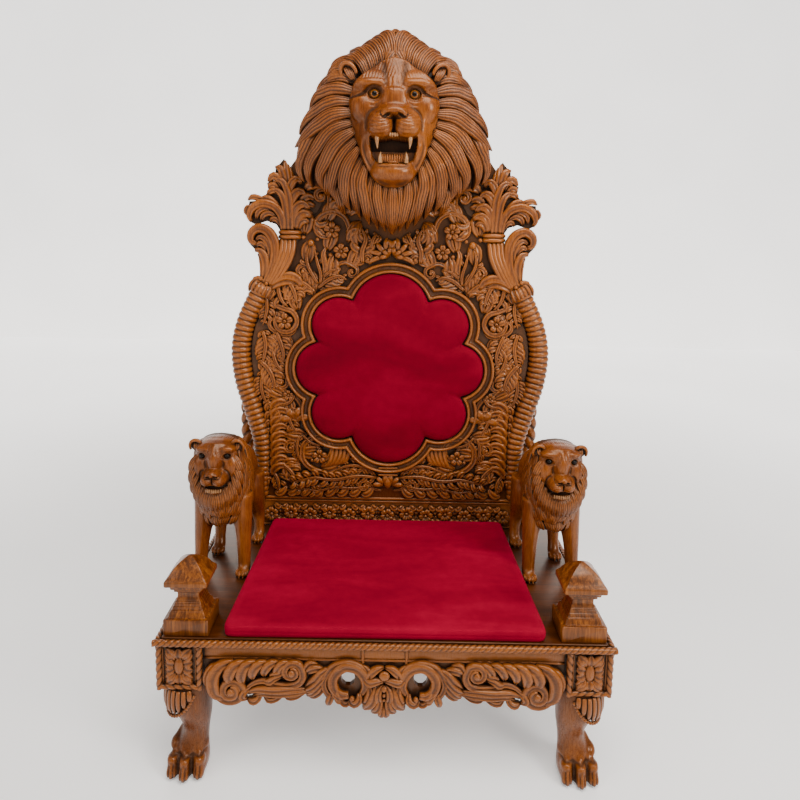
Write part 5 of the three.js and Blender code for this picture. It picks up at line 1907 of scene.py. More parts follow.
    def build(self, finishes: Finishes) -> None:
        """Makes the crest and dresses it."""
        carving = Carving()
        for lock in self.locks:
            self.lay(carving, lock)
        self.chevrons(carving)
        self.ears(carving)
        carving.mirror()
        crest = joined("crest_lion_carved", [
            dressed(carving.make("crest_mane"), finishes.carved),
            dressed(self.body().make("under"), finishes.carved),
            dressed(self.face.build(), finishes.lion), dressed(self.face.teeth(), finishes.tooth),
            dressed(self.face.lower_teeth(), finishes.lion), dressed(self.face.eyes(32, 20), finishes.eye)])
        tie(crest, "crest_lion_head")


# ---- Legs, apron and rails -----------------------------------------------------------------------
def turned(source: Carving, pivot: Flat, degrees: float) -> Carving:
    """A copy of a carving, turned about an upright line."""
    angle = math.radians(degrees)
    c, s = math.cos(angle), math.sin(angle)
    turn = np.array([[c, s, 0], [-s, c, 0], [0, 0, 1]])
    centre = np.array([pivot[0], pivot[1], 0.0])
    copy = Carving()
    copy.add((np.vstack(source.verts) - centre) @ turn + centre, np.vstack(source.faces),
             np.concatenate(source.recess))
    return copy


def gathered(carving: Carving, *others: Carving) -> Carving:
    """Adds other carvings to the first, and returns it."""
    for other in others:
        carving.add(np.vstack(other.verts), np.vstack(other.faces), np.concatenate(other.recess))
    return carving


@dataclass
class Legs:
    """Four cabriole legs: a roped square block, a knee leaf in a beaded border and a lion's paw."""

    centre: Flat = (539.0, -338.0)
    half: float = 62.0
    bottom: float = 255.0
    top: float = 380.0
    rope: float = 9.0
    rows: int = 44
    twist: Twist = Twist(strands=2, spacing=21.0, depth=0.3)
    shank: tuple[tuple[float, ...], ...] = (
        (2, 528, -349, 46, 44), (14, 528, -350, 50, 48), (34, 527, -350, 50, 48), (56, 525, -346, 46, 44),
        (78, 520, -341, 40, 40), (100, 515, -336, 35.5, 38), (122, 512.5, -333, 35.5, 42),
        (145, 514, -333, 40, 49), (175, 519, -335, 46, 57), (205, 522, -336, 50, 61),
        (240, 524, -336, 52, 62), (262, 524, -335, 50, 60))
    around: int = 28
    toes: tuple[Flat, ...] = ((493, -369), (529, -378.5), (564, -369))
    toe_forms: tuple[tuple[Flat, Point, tuple[int, int]], ...] = (
        ((0, 27), (17.5, 40, 26), (20, 14)), ((-13, 46), (15.5, 22, 19), (18, 12)),
        ((22, 66), (16.5, 25, 20), (18, 12)), ((-25, 17), (15.5, 19, 17), (16, 12)))
    heel: Point = (528.0, -318.0, 22.0)
    heel_radii: Point = (44.0, 38.0, 24.0)
    voxel: float = 3.9
    knee_centre: Flat = (530.0, -340.0)
    knee_top: float = 256.0
    flutes: int = 11
    knee: tuple[Flat, ...] = (
        (-118, 238), (-104, 212), (-88, 194), (-70, 183), (-50, 178), (-30, 178), (-10, 183), (8, 194),
        (24, 212), (38, 238))

    def skin(self) -> bpy.types.Object:
        """The shank and paw as one fused skin, with tendons and clawed toes."""
        carving = Carving()
        angle = np.linspace(0, 2 * np.pi, self.around, endpoint=False)
        rings = []
        for z, x, y, a, b in spline(self.shank, self.rows):
            c, s = np.cos(angle), np.sin(angle)
            square = (np.abs(c) ** 2.4 + np.abs(s) ** 2.4) ** (-1 / 2.4)
            rings.append(np.column_stack([x + a * square * c, y + b * square * s, np.full(self.around, z)]))
        carving.shell(np.stack(rings))
        for x, y in self.toes:
            for (back, z), radii, counts in self.toe_forms:
                ball(carving, (x, y + back, z), radii, *counts)
            lean = (x - self.heel[0]) * 0.35
            sinew = even_spline([(x, y + 20, 64), (x - lean * 0.9, y + 38, 92),
                                 (x - lean * 2.0 - 8, y + 36, 128), (x - lean * 2.2 - 8, y + 24, 168)], 18)
            round_bar(carving, sinew, np.linspace(14, 6, 18), 12)
        ball(carving, self.heel, self.heel_radii, 24, 14)
        leg = fuse(carving.make("leg_skin"), self.voxel, 5)
        co = positions(leg)
        no = normals(leg)
        sunk = np.zeros(len(co))
        for left, right in zip(self.toes, self.toes[1:]):
            gap = (left[0] + right[0]) / 2
            near = bell(co[:, 0] - gap, 3.6) * np.clip((78 - co[:, 2]) / 26, 0, 1)
            sunk += 4.5 * near * (co[:, 1] < -352)
        for x, y in self.toes:
            beside = np.abs(co[:, 0] - x)
            front = np.clip((y - 6 - co[:, 1]) / 10, 0, 1)
            low = np.clip((46 - co[:, 2]) / 6, 0, 1)
            sunk += 3.6 * bell(beside - 6.2, 1.9) * front * low
            sunk += 2.6 * bell(beside, 5.0) * bell(co[:, 2] - 47, 3.0) * front
            sunk += 3.0 * bell(co[:, 2] - 60 + 0.12 * (co[:, 1] - y), 3.2) * (
                beside < 17) * np.clip((y + 18 - co[:, 1]) / 10, 0, 1)
        co -= no * sunk[:, None]
        co[:, 2] = np.maximum(co[:, 2], 0.2)
        # The sunk grooves between the toes and at the claws go into the recess attribute, as painted shade.
        reshape(leg, co, sunk / 4.0)
        return leg

    def face(self) -> Carving:
        """One carved face of the block: an oval bead in a ring of leaves."""
        carving = Carving()
        x0, y0 = self.centre
        ground = Ground(y0 - self.half + 12)
        middle = (self.bottom + self.top) / 2 + 5
        ball(carving, (x0, ground.y - 2, middle), (14, 11, 25), 20, 12)
        for sign in (-1, 1):
            for k in range(4):
                lift = (k - 1.5) * 20
                Lobe(((x0 + sign * 12, middle + lift * 0.55), (x0 + sign * 24, middle + lift * 0.95),
                      (x0 + sign * 36, middle + lift * 1.15)), 10.5, 8.0, 4.0, 2, (0.5, 1.0, 0.9, 0.3)).carve(
                    carving, ground)
            for x in (-28, 0, 28):
                Lobe(((x0 + x * 0.35, middle + sign * 22), (x0 + x * 0.7, middle + sign * 36),
                      (x0 + x * 1.15, middle + sign * 50)), 10.5, 8.0, 4.0, 2, (0.6, 1.0, 0.9, 0.3)).carve(
                    carving, ground)
        for x in (x0 - 43, x0 + 43):
            ends = [(x, y0 - self.half + 11, z) for z in (self.bottom + 18, self.top - 1)]
            rod(carving, *ends, 2.6, 8, 8, None, FACE_NORMAL)
        return carving

    def ropes(self) -> Carving:
        """The ropes on the block's upright edges and along its lower ones."""
        carving = Carving()
        x0, y0 = self.centre
        out = self.half - self.rope
        corners = ((-out, -out), (out, -out), (out, out))
        for dx, dy in corners:
            rod(carving, (x0 + dx, y0 + dy, self.bottom + 3), (x0 + dx, y0 + dy, self.top - 0.3), self.rope,
                self.rows, 12, self.twist, FACE_NORMAL)
        for (ax, ay), (bx, by) in zip(corners, corners[1:]):
            rod(carving, (x0 + ax, y0 + ay, self.bottom + 9), (x0 + bx, y0 + by, self.bottom + 9),
                self.rope - 0.5, self.rows, 12, self.twist)
        return carving

    def knee_leaf(self) -> Carving:
        """Upright flutes round the knee, over a border of beads."""
        carving = Carving()
        cx, cy = self.knee_centre
        knee = np.array(self.knee)
        for a, z in even_spline(self.knee, 25):
            angle = math.radians(a)
            drop = (self.knee_top - z) / 78
            reach = 61 - 5 * drop
            ball(carving, (cx + reach * math.cos(angle), cy + (reach + 4) * math.sin(angle), z),
                 (5.2, 5.2, 5.2), 8, 6)
        for k in range(self.flutes):
            a = -108 + 13.6 * k
            z = float(np.interp(a, knee[:, 0], knee[:, 1])) + 7
            angle = math.radians(a)
            out = np.array([math.cos(angle), math.sin(angle), 0.0])
            points = []
            for share, reach in ((0.0, 57), (0.3, 61), (0.7, 61.5), (1.0, 57)):
                points.append((cx + reach * out[0], cy + (reach + 4) * out[1],
                               self.knee_top + (z - self.knee_top) * share))
            Blade(7.4, 5.0, 9.0, 1, 0.0, (0.9, 1.0, 1.0, 0.85, 0.45), 12, 6).carve(carving, points, out)
        return carving

    def build(self, finishes: Finishes) -> None:
        """Makes one leg, dresses it and sets mirrored copies at the other corners."""
        x0, y0 = self.centre
        inset = self.half - 12
        skin = self.skin()
        core = block("leg_block", (x0 - self.half + 3, y0 - inset, self.bottom + 2),
                     (x0 + inset, y0 + self.half, self.top), 1.0)
        front = self.face()
        carved = gathered(Carving(), front, turned(front, self.centre, 90), self.ropes(), self.knee_leaf())
        leg = joined("right_front_leg_carved", [
            dressed(carved.make("leg_relief"), finishes.carved), dressed(skin, finishes.lion),
            dressed(core, finishes.ground)])
        for row, depth in (("front_leg", 1.0), ("back_leg", -1.0)):
            for side in Side:
                node = side.of(row)
                first = (side, row) == (Side.RIGHT, "front_leg")
                piece = leg if first else mirrored_copy(leg, node + "_carved", (side.value, depth, 1.0))
                tie(piece, node)


@dataclass
class Apron:
    """The front apron: leaves and scrolls about a small cartouche, below a plain band."""

    ground: Ground = Ground(-380.0)
    half: float = 474.0
    band: Flat = (344.0, 375.5)
    right_half: tuple[Ornament, ...] = (
        # cartouche
        Lobe(((2, 326), (22, 322), (38, 306), (34, 292)), 9, 14.0),
        Lobe(((0, 288), (20, 290), (40, 286), (56, 296)), 9, 17.0, 5.0),
        Lobe(((2, 276), (14, 262), (16, 240), (8, 222)), 8, 15.0),
        Lobe(((20, 276), (24, 254), (34, 226), (54, 206)), 11, 15.0),
        Lobe(((12, 250), (12, 226), (18, 208), (32, 196)), 9, 13.0),
        Lobe(((2, 222), (4, 206), (8, 192), (14, 186)), 8, 12.0),
        Lobe(((40, 276), (38, 250), (50, 228), (62, 238)), 9, 13.0),
        Lobe(((60, 330), (44, 316), (40, 298), (52, 288)), 9, 12.0),
        # large scroll round the opening
        Scroll(((62, 246), (50, 268), (52, 296), (70, 320), (100, 328)), (98, 278), 0.52, -1, 12.0, 18.0,
               0.1, 0.55),
        Scroll(((52, 242), (42, 270), (46, 304), (68, 330), (102, 338), (136, 326), (154, 302), (160, 276),
                (150, 252)), (134, 268), 0.3, -1, 8.0, 15.0, 0.1, 0.7),
        Lobe(((66, 252), (66, 236), (80, 226), (94, 236)), 9, 17.0),
        Berry((84, 243), 7, 18.0),
        Lobe(((104, 228), (118, 240), (128, 256), (126, 280)), 9, 15.0),
        Lobe(((136, 262), (140, 244), (146, 226), (147, 214)), 8, 13.0),
        Lobe(((112, 238), (112, 228), (100, 222), (88, 230)), 7, 12.0),
        Lobe(((122, 254), (124, 240), (118, 230), (108, 228)), 7, 12.0),
        # plume
        Lobe(((142, 322), (166, 312), (186, 288), (208, 268)), 9, 15.0),
        Lobe(((150, 308), (170, 288), (190, 268), (212, 254)), 8, 15.0),
        Lobe(((156, 288), (170, 272), (188, 254), (204, 242)), 8, 14.0),
        Lobe(((160, 318), (178, 322), (196, 318), (206, 304)), 9, 12.0),
        Lobe(((158, 272), (168, 256), (182, 246), (196, 236)), 7, 12.0),
        Lobe(((176, 330), (196, 334), (206, 322), (204, 306)), 8, 10.0),
        # inner volute and its stem
        Scroll(((366, 258), (344, 276), (316, 284), (286, 272), (256, 270), (228, 278), (214, 300),
                (222, 328)), (243, 313), 1.2, -1, 9.0, 19.0, 9.0, 0.32),
        Lobe(((270, 296), (288, 294), (304, 284), (322, 286)), 8, 15.0),
        Lobe(((262, 320), (274, 308), (292, 304), (300, 292)), 8, 14.0),
        # crescent lobes of the great leaf
        Lobe(((248, 338), (268, 336), (282, 320), (286, 300)), 9, 16.0),
        Lobe(((276, 338), (298, 336), (314, 318), (316, 296)), 10, 18.0),
        Lobe(((306, 338), (330, 334), (346, 314), (346, 288)), 11, 20.0),
        Lobe(((334, 338), (362, 332), (376, 306), (372, 274)), 12, 21.0),
        Lobe(((362, 338), (392, 330), (408, 302), (402, 274)), 12.5, 22.0),
        Lobe(((396, 338), (430, 328), (450, 296), (446, 252), (424, 232)), 14, 22.0, 7.0, 2,
             (0.4, 0.8, 1.0, 0.9, 0.5)),
        Lobe(((424, 332), (454, 320), (466, 290), (460, 256)), 9, 16.0),
        # end volute
        Scroll(((446, 268), (440, 238), (416, 224), (390, 228), (374, 248)), (403, 257), 1.3, -1, 10.0, 20.0,
               9.5, 0.36),
        # bottom stem with its tips
        Lobe(((206, 262), (240, 264), (286, 262), (330, 262), (366, 248)), 8, 17.0),
        Lobe(((196, 254), (232, 252), (274, 250), (318, 250), (348, 236)), 8, 15.0),
        Lobe(((210, 248), (232, 240), (252, 238), (268, 244)), 6, 11.0),
        Lobe(((262, 246), (284, 234), (304, 230), (318, 240)), 7, 12.0),
        Lobe(((326, 250), (332, 234), (346, 226), (362, 232)), 8, 14.0),
        Lobe(((352, 262), (370, 252), (374, 238), (360, 230)), 8, 16.0),
    )

    def trim(self) -> Carving:
        """The fillets of the plain band, the upright bars and the middle beads."""
        carving = Carving()
        y = self.ground.y
        for height, radius in ((376.5, 3.0), (342, 3.4)):
            rod(carving, (-self.half, y - 3, height), (self.half, y - 3, height), radius, 40, 10)
        for x in (-58.0, 58.0):
            rod(carving, (x, y - 2, 330), (x, y - 2, 378), 5.0, 10, 10, None, FACE_NORMAL)
        for z, r in ((268, 9), (250, 6.5), (236, 5)):
            ball(carving, (0, y - 12, z), (r, r, r), 14, 10)
        ball(carving, (0, y - 14, 306), (15, 9, 13), 18, 12)
        return carving

    def build(self, finishes: Finishes) -> None:
        """Makes the apron and dresses it."""
        carving = Carving()
        carve_all(carving, self.ground, self.right_half)
        carving.mirror()
        gathered(carving, self.trim())
        relief = dressed(carving.make("apron_relief"), finishes.across)
        y = self.ground.y
        low, high = self.band
        band = block("apron_band", (-self.half, y - 2.5, low), (self.half, y + 6, high), 1.0)
        board = dressed(copy_of("front_apron", "apron_board"), finishes.ground)
        co = positions(board)
        back = co[:, 1].max()
        co[:, 1] = back - (back - co[:, 1]) * (back - self.ground.y + 1) / (back - co[:, 1].min())
        reshape(board, co)
        apron = joined("front_apron_carved", [relief, dressed(band, finishes.across), board])
        tie(apron, "front_apron")


@dataclass
class HiddenRails:
    """The side rails, with a plainer scroll and leaf, and the plain rail at the back."""

    half: float = 272.0
    depth: float = 6.0
    right_half: tuple[Ornament, ...] = (
        Fan((0, 268), 8, 58, 20, 160, 7, 9.0, 0.1),
        Scroll(((40, 276), (80, 300), (130, 312), (176, 296)), (156, 292), 1.1, -1, 8.0, 11.0, 7.0, 0.35),
        Leaf(((60, 300), (110, 328), (170, 330), (224, 312), (262, 280)), 26, 7, 9.0),
        Lobe(((176, 300), (214, 296), (246, 272), (256, 244)), 9, 9.0))

    def side_rail(self, side: Side, finishes: Finishes) -> None:
        """Makes one side rail."""
        node = side.of("side_rail")
        low, high = node_corners(node)
        face = high[0] if side is Side.RIGHT else low[0]
        carving = Carving()
        carve_all(carving, Ground(0.0), self.right_half)
        carving.mirror()
        for height in (376.0, 344.0):
            rod(carving, (-self.half, -2, height), (self.half, -2, height), 3.2, 30, 10)
        stand = turned(carving, (0.0, 0.0), 90 * side.value)
        stand.verts = [v + np.array([face - self.depth * side.value, 0, 0]) for v in stand.verts]
        board = dressed(copy_of(node, node + "_board"), finishes.ground)
        co = positions(board)
        co[:, 0] -= np.where(np.abs(co[:, 0] - face) < 1, self.depth * side.value, 0)
        reshape(board, co)
        relief = dressed(stand.make(node + "_relief"), finishes.carved)
        tie(joined(node + "_carved", [relief, board]), node)

    def build(self, finishes: Finishes) -> None:
        """Makes the three rails and dresses them."""
        for side in Side:
            self.side_rail(side, finishes)
        rail = copy_of("back_rail", "back_rail_board")
        apply_modifier(rail, "BEVEL", width=1.5 * MM, segments=2, limit_method="ANGLE",
                       angle_limit=math.radians(50))
        smooth_by_angle(rail, 35)
        tie(dressed(rail, finishes.board), "back_rail")


# ---- Standing lions ------------------------------------------------------------------------------
@dataclass
class CalmFace(Face):
    """The standing lion's face: calm brows, broad nose, whisker folds and a mouth just open."""

    centre: float = 518.0
    middle: float = 746.0
    rear: float = -20.0
    eye: Flat = (36.5, 788.0)
    eye_depth: float = -101.0
    eye_radii: Point = (9.2, 8.4, 8.0)
    outline: tuple[Flat, ...] = ((0, 827), (26, 824), (48, 815), (60, 798), (63, 770), (60, 738), (50, 708),
                                 (36, 684), (18, 672), (0, 670))
    domes: tuple[Dome, ...] = (
        Dome(0, 786, -60, 68, 58, 60), Dome(0, 734, -62, 62, 54, 62), Dome(0, 776, -88, 26, 42, 52),
        Dome(0, 744, -110, 21, 42, 15), Dome(0, 724, -88, 42, 52, 34), Dome(0, 682, -80, 32, 46, 17))
    pairs: tuple[Dome, ...] = (
        Dome(34, 808, -84, 29, 28, 13), Dome(18, 721, -107, 22, 42, 21), Dome(44, 750, -82, 28, 28, 42),
        Dome(12, 741, -112, 12, 36, 11))
    cuts: tuple[Cut, ...] = (
        Cut(((0, 736), (0, 722), (0, 709)), 1.7, 6.0, 0.1),
        Cut(((22, 747), (25, 738), (20, 731), (8, 731), (0, 732)), 1.7, 3.2, 0.15),
        Cut(((24, 780), (27, 768), (25, 756), (24, 748)), 3.6, 3.2),
        Cut(((24, 746), (38, 742), (44, 728), (44, 708), (36, 698)), 3.0, 3.6, 0.2),
        Cut(((33, 702), (38, 697), (40, 688)), 2.0, 2.6, 0.2),
        Cut(((0, 684), (14, 685), (26, 691)), 1.6, 2.0, 0.3),
        Cut(((7, 818), (6, 806), (8, 794)), 3.0, 2.0, 0.3),
        Cut(((22, 786), (30, 779), (42, 778), (50, 784)), 1.5, 1.8, 0.2))
    mouth: tuple[Flat, ...] = ((0, 708), (12, 706), (24, 705), (31, 699), (26, 690), (14, 686), (0, 685))
    throat: float = 92.0

    def surface(self, x: np.ndarray, z: np.ndarray) -> tuple[np.ndarray, np.ndarray]:
        """How far forward the face reaches, and how deep in the carving each place lies."""
        side = np.abs(x)
        front = self.raised(x, z, 2.8)
        sunk = self.carved(x, z)
        ex, ez = self.eye
        socket = np.hypot((side - ex) / 1.3, z - ez)
        lid = np.clip((z - ez + 2) / 5, 0, 1)
        front = front - 9 * np.exp(-((socket / 9.5) ** 4)) + 2.6 * bell(socket - 9.6, 1.8)
        for reach in (13.5, 17.5, 21.5):
            sunk = sunk + 1.7 * bell(socket - reach, 1.1) * lid
        pad = np.exp(-(np.hypot((side - 22) / 21, (z - 718) / 18) ** 6))
        arc = np.hypot(side - 20, z - 750)
        sunk = sunk + 1.5 * pad * (0.5 - 0.5 * np.cos(2 * np.pi * arc / 5.6)) ** 3 * (arc > 18)
        nostril = np.hypot((side - 11) / 5.5, (z - 738 + 0.3 * (side - 11)) / 3.4)
        sunk = sunk + 9 * np.exp(-(nostril**4))
        gap, inside = outline_gap(x, z, self.mouth, 30)
        hole = np.where(inside, 1 - bell(gap, 1.5), 0)
        front = (front - sunk) * (1 - hole) + np.minimum(self.throat, front) * hole
        front = self.rounded_off(front, x, z, 2.2, 0.1, 50)
        shade = np.clip(sunk / 3.6, 0, 1) * 0.9 + hole + 0.5 * bell(socket - 10.5, 2)
        return np.maximum(front, 26 - self.rear), np.clip(shade, 0, 1)

    def build(self) -> bpy.types.Object:
        """Makes the face as one closed shell."""
        return face_shell("lion_face", self.surface, self.outline, (self.centre, self.middle), self.rear,
                          56, 170)

    def teeth(self) -> bpy.types.Object:
        """Makes the small lower teeth."""
        carving = Carving()
        for k in range(8):
            x = self.centre - 21 + 6 * k
            y = -119 - 9 * (1 - ((k - 3.5) / 4.5) ** 2)
            peg = spline([(x, y, z) for z in (682, 689, 693)], 5)
            round_bar(carving, peg, spline((2.6, 2.4, 1.2), 5), 8)
        return carving.make("lion_teeth")


@dataclass
class Lions:
    """Two small walking lions in place of arms, each one carving."""

    face: CalmFace = field(default_factory=CalmFace)
    x: float = 507.0
    floor: float = 400.6
    mane: tuple[tuple[float, ...], ...] = (
        (830, 518, -34, 30, 24), (822, 518, -36, 56, 46), (806, 517, -34, 68, 60), (770, 515, -30, 75, 72),
        (730, 513, -27, 79, 80), (690, 511, -24, 81, 84), (650, 510, -22, 81, 86), (610, 510, -20, 77, 82),
        (580, 510, -18, 68, 74), (560, 510, -16, 54, 60), (548, 510, -14, 34, 42))
    masses: tuple[tuple[Point, Point, tuple[int, int]], ...] = (
        ((0, 46, 662), (70, 150, 78), (32, 20)), ((0, 142, 660), (66, 66, 86), (28, 18)),
        ((4, -30, 650), (80, 68, 110), (28, 18)))
    legs: tuple[tuple[tuple[Point, ...], tuple[float, ...]], ...] = (
        (((50, -46, 650), (58, -54, 580), (65, -62, 500), (68, -66, 436), (69, -70, 416)),
         (40, 31, 23, 20, 22)),
        (((-50, -44, 650), (-57, -50, 580), (-63, -58, 500), (-65, -62, 436), (-65, -66, 416)),
         (40, 31, 23, 20, 22)),
        (((42, 132, 640), (48, 112, 570), (50, 104, 510), (48, 84, 450), (47, 72, 418)),
         (46, 38, 25, 18, 20)),
        (((-42, 142, 640), (-52, 138, 570), (-60, 168, 500), (-66, 160, 450), (-67, 152, 418)),
         (46, 38, 25, 18, 20)))
    paws: tuple[Flat, ...] = ((69, -76), (-65, -72), (47, 66), (-67, 146))
    tail: tuple[tuple[Point, ...], tuple[float, ...]] = (
        ((0, 196, 706), (-4, 226, 664), (-4, 234, 600), (-1, 228, 530), (3, 224, 486)), (15, 11, 9.5, 9, 10))
    ribs: tuple[float, ...] = (40, 62, 84, 106)
    rib_height: float = 660.0
    tuft_depth: float = 224.0
    toe_count: int = 4
    seed: int = 11

    def mane_at(self, angle: float, z: float, lift: float) -> Point:
        """A place on the mane: angle from the front, height, and distance off the surface."""
        table = np.array(self.mane)[::-1]
        x, y, a, b = (float(np.interp(z, table[:, 0], table[:, k])) for k in range(1, 5))
        return (x + (a + lift) * math.sin(angle), y - (b + lift) * math.cos(angle), z)

    def mane_locks(self, carving: Carving) -> None:
        """Adds the mane: overlapping flat locks that fall over the neck, the sides and the chest."""
        rng = np.random.default_rng(self.seed)
        for row, top in enumerate((606, 638, 670, 702, 734, 764, 792, 816)):
            count = 18 if top < 810 else 14
            for k in range(count):
                angle = (k + 0.5 * (row % 2)) * 2 * math.pi / count + rng.uniform(-0.05, 0.05)
                turn = (angle + math.pi) % (2 * math.pi) - math.pi
                window = 0.84 if top > 700 else 0.60 if top > 680 else 0.0
                if abs(turn) < window:
                    continue
                length = rng.uniform(72, 92) if top > 640 else rng.uniform(46, 60)
                sway = rng.uniform(-0.05, 0.05) - 0.10 * math.copysign(1, turn) * (abs(turn) < 2.4)
                points = []
                for share, lift in ((0.0, -5.0), (0.25, 2.0), (0.5, 5.0), (0.78, 6.5), (1.0, 3.0)):
                    wave = 0.045 * math.sin(2.0 * math.pi * share + k)
                    points.append(self.mane_at(angle + sway * share + wave, top - length * share, lift))
                mid = self.mane_at(angle, top - length / 2, 0)
                hub = self.mane_at(angle, top - length / 2, -40)
                Blade(rng.uniform(13.0, 16.0), 5.5, 10.0, 4, 1.6, (0.75, 1.0, 1.0, 0.75, 0.12), 10, 3).carve(
                    carving, points, np.array(mid) - np.array(hub))

    def brow_hair(self, carving: Carving) -> None:
        """Adds the hair on the crown, combed back, and the frame of locks round the face."""
        middle = self.face.centre
        for k in range(19):
            share = (k - 9) / 9
            x = middle + 54 * share
            z = 826 - 15 * share**2
            start = 7 * math.sin(2.4 * k)
            Blade(6.0, 3.2, 10.0, 2, 1.3, (0.4, 1.0, 1.0, 0.3), 12, 4).carve(carving, [
                (x * 0.94 + middle * 0.06, -101 + 20 * share**2 + 0.4 * start, z - 12 - start),
                (x, -84 + 12 * share**2, z + 1), (x + 4 * share, -50, z + 5), (x + 8 * share, 8, z - 6)],
                (0.3 * share, -0.3, 1.0))
        for sign in (-1, 1):
            for k, (x, z, drop) in enumerate(((58, 776, 56), (60, 748, 60), (56, 722, 62), (48, 700, 62),
                                              (38, 686, 60), (27, 678, 58), (16, 672, 58), (5, 670, 56))):
                lean = 20 - 2.6 * k
                y = -93 - 3.4 * k
                points = [(middle + sign * (x - 4), y + 4, z + 8),
                          (middle + sign * (x + lean * 0.6), y - 4, z - drop * 0.3),
                          (middle + sign * (x + lean * 0.9), y + 2, z - drop * 0.75),
                          (middle + sign * (x + lean * 0.6), y + 14, z - drop * 1.1)]
                Blade(12.0, 5.5, 16.0, 4, 1.7, (0.7, 1.0, 0.95, 0.7, 0.12), 12, 3).carve(
                    carving, points, (0.55 * sign * (1 - k / 8), -1.0, 0.0))

    def ears(self, carving: Carving) -> None:
        """Adds the cupped round ears."""
        for sign in (-1, 1):
            angle = np.linspace(-0.5, np.pi + 0.7, 22)
            x0, z0 = self.face.centre + sign * 63, 808
            rim = np.column_stack([x0 + sign * 18 * np.cos(angle), -78 - 5 * np.sin(angle),
                                   z0 + 21 * np.sin(angle)])
            round_bar(carving, rim, 5.0 * np.sin(np.linspace(0.5, np.pi - 0.5, 22)) ** 0.4, 10)
            # The ear's hollow, partly in painted shade.
            ball(carving, (x0, -69, z0 + 2), (18, 8, 19), 16, 10, 0.75)
            for shift in (-5, 3):
                tuft = [(x0 + shift, -76, z0 + 12), (x0 + shift * 0.6, -82, z0),
                        (x0 - sign * 4, -82, z0 - 12)]
                Blade(3.6, 2.4, 7.0, 1, 0.0, (0.4, 1.0, 0.8, 0.2), 8, 4).carve(carving, tuft)

    def limb(self, carving: Carving, path: Sequence[Point], radii: Sequence[float],
             around: int = 18) -> None:
        """Adds a leg or the tail: a bar of changing thickness, its points counted from the body's middle."""
        line = [(self.x + across, back, up) for across, back, up in path]
        round_bar(carving, spline(line, 26), spline(radii, 26), around, None, (0, -1, 0.2))

    def paw(self, carving: Carving, x: float, y: float) -> None:
        """Adds a paw with four toes that point forward."""
        low = self.floor
        ball(carving, (x, y - 6, low + 12), (21, 27, 13), 20, 12)
        ball(carving, (x, y + 8, low + 20), (18, 18, 18), 18, 12)
        for k in range(self.toe_count):
            shift = (k - 1.5) * 10.4
            ball(carving, (x + shift, y - 29 + 0.05 * shift**2 * 0.5, low + 9.5), (5.8, 11, 9), 12, 10)
            ball(carving, (x + shift, y - 20 + 0.03 * shift**2, low + 15), (5.4, 9, 6.5), 12, 8)

    def toes(self, carving: Carving) -> None:
        """Adds the four toes of each paw, with a claw at the tip of each."""
        for x, y in self.paws:
            for k in range(self.toe_count):
                shift = (k - 1.5) * 11.0
                front = y - 28 + 0.045 * shift**2
                ball(carving, (self.x + x + shift, front, self.floor + 10.5), (5.9, 13.0, 10.0), 14, 10)
                ball(carving, (self.x + x + shift, front - 11.5, self.floor + 5.5), (1.9, 4.5, 3.6), 8, 6)

    def skin(self) -> bpy.types.Object:
        """The body, legs, paws and tail as one fused skin."""
        carving = Carving()
        x = self.x
        for (across, back, up), radii, counts in self.masses:
            ball(carving, (x + across, back, up), radii, *counts)
        for path, radii in self.legs:
            self.limb(carving, path, radii)
        for px, py in self.paws:
            self.paw(carving, x + px, py)
        self.limb(carving, *self.tail, 14)
        body = fuse(carving.make("lion_skin"), 5.6, 4)
        co = positions(body)
        rib = np.zeros(len(co))
        height = co[:, 2] - self.rib_height
        for y in self.ribs:
            line = np.abs(co[:, 1] - y - 0.25 * height)
            rib += 1.6 * bell(line, 4.0) * (np.abs(height) < 46) * (
                np.abs(co[:, 0] - self.x) > 40)
        co -= normals(body) * rib[:, None]
        co[:, 2] = np.maximum(co[:, 2], self.floor)
        # The rib grooves go into the recess attribute, as painted shade.
        reshape(body, co, rib / 6)
        return body

    def tuft(self, carving: Carving) -> None:
        """Adds the tassel of hair at the end of the tail."""
        for k in range(7):
            angle = 2 * math.pi * k / 7
            out = (math.cos(angle), math.sin(angle), 0.0)
            lock = [(self.x + shift + spread * out[0], self.tuft_depth + spread * out[1], z)
                    for shift, spread, z in ((3, 5, 500), (4, 14, 474), (6, 12, 450), (8, 3, 432))]
            Blade(8.0, 5.0, 9.0, 2, 1.8, (0.5, 1.0, 0.9, 0.15), 10, 4).carve(carving, lock, out)

    def build(self, finishes: Finishes) -> None:
        """Makes the right lion, dresses it and sets its mirror image on the left."""
        carving = Carving()
        self.mane_locks(carving)
        self.brow_hair(carving)
        self.ears(carving)
        self.tuft(carving)
        feet = Carving()
        self.toes(feet)
        # A shell under the mane, wholly in painted shade, that shows between the locks.
        under = Carving()
        angle = np.linspace(0, 2 * np.pi, 36, endpoint=False)
        rings = [np.column_stack([x + (a - 5) * np.sin(angle), y - (b - 5) * np.cos(angle), np.full(36, z)])
                 for z, x, y, a, b in spline(self.mane, 30)]
        under.shell(np.stack(rings), np.ones((30, 36)))
        tie_pair(joined("right_lion_carved", [
            dressed(carving.make("lion_mane"), finishes.carved),
            dressed(under.make("under"), finishes.carved),
            dressed(self.skin(), finishes.lion), dressed(feet.make("lion_toes"), finishes.lion),
            dressed(self.face.build(), finishes.lion), dressed(self.face.eyes(24, 16), finishes.black_eye),
            dressed(self.face.teeth(), finishes.tooth)]), "lion")


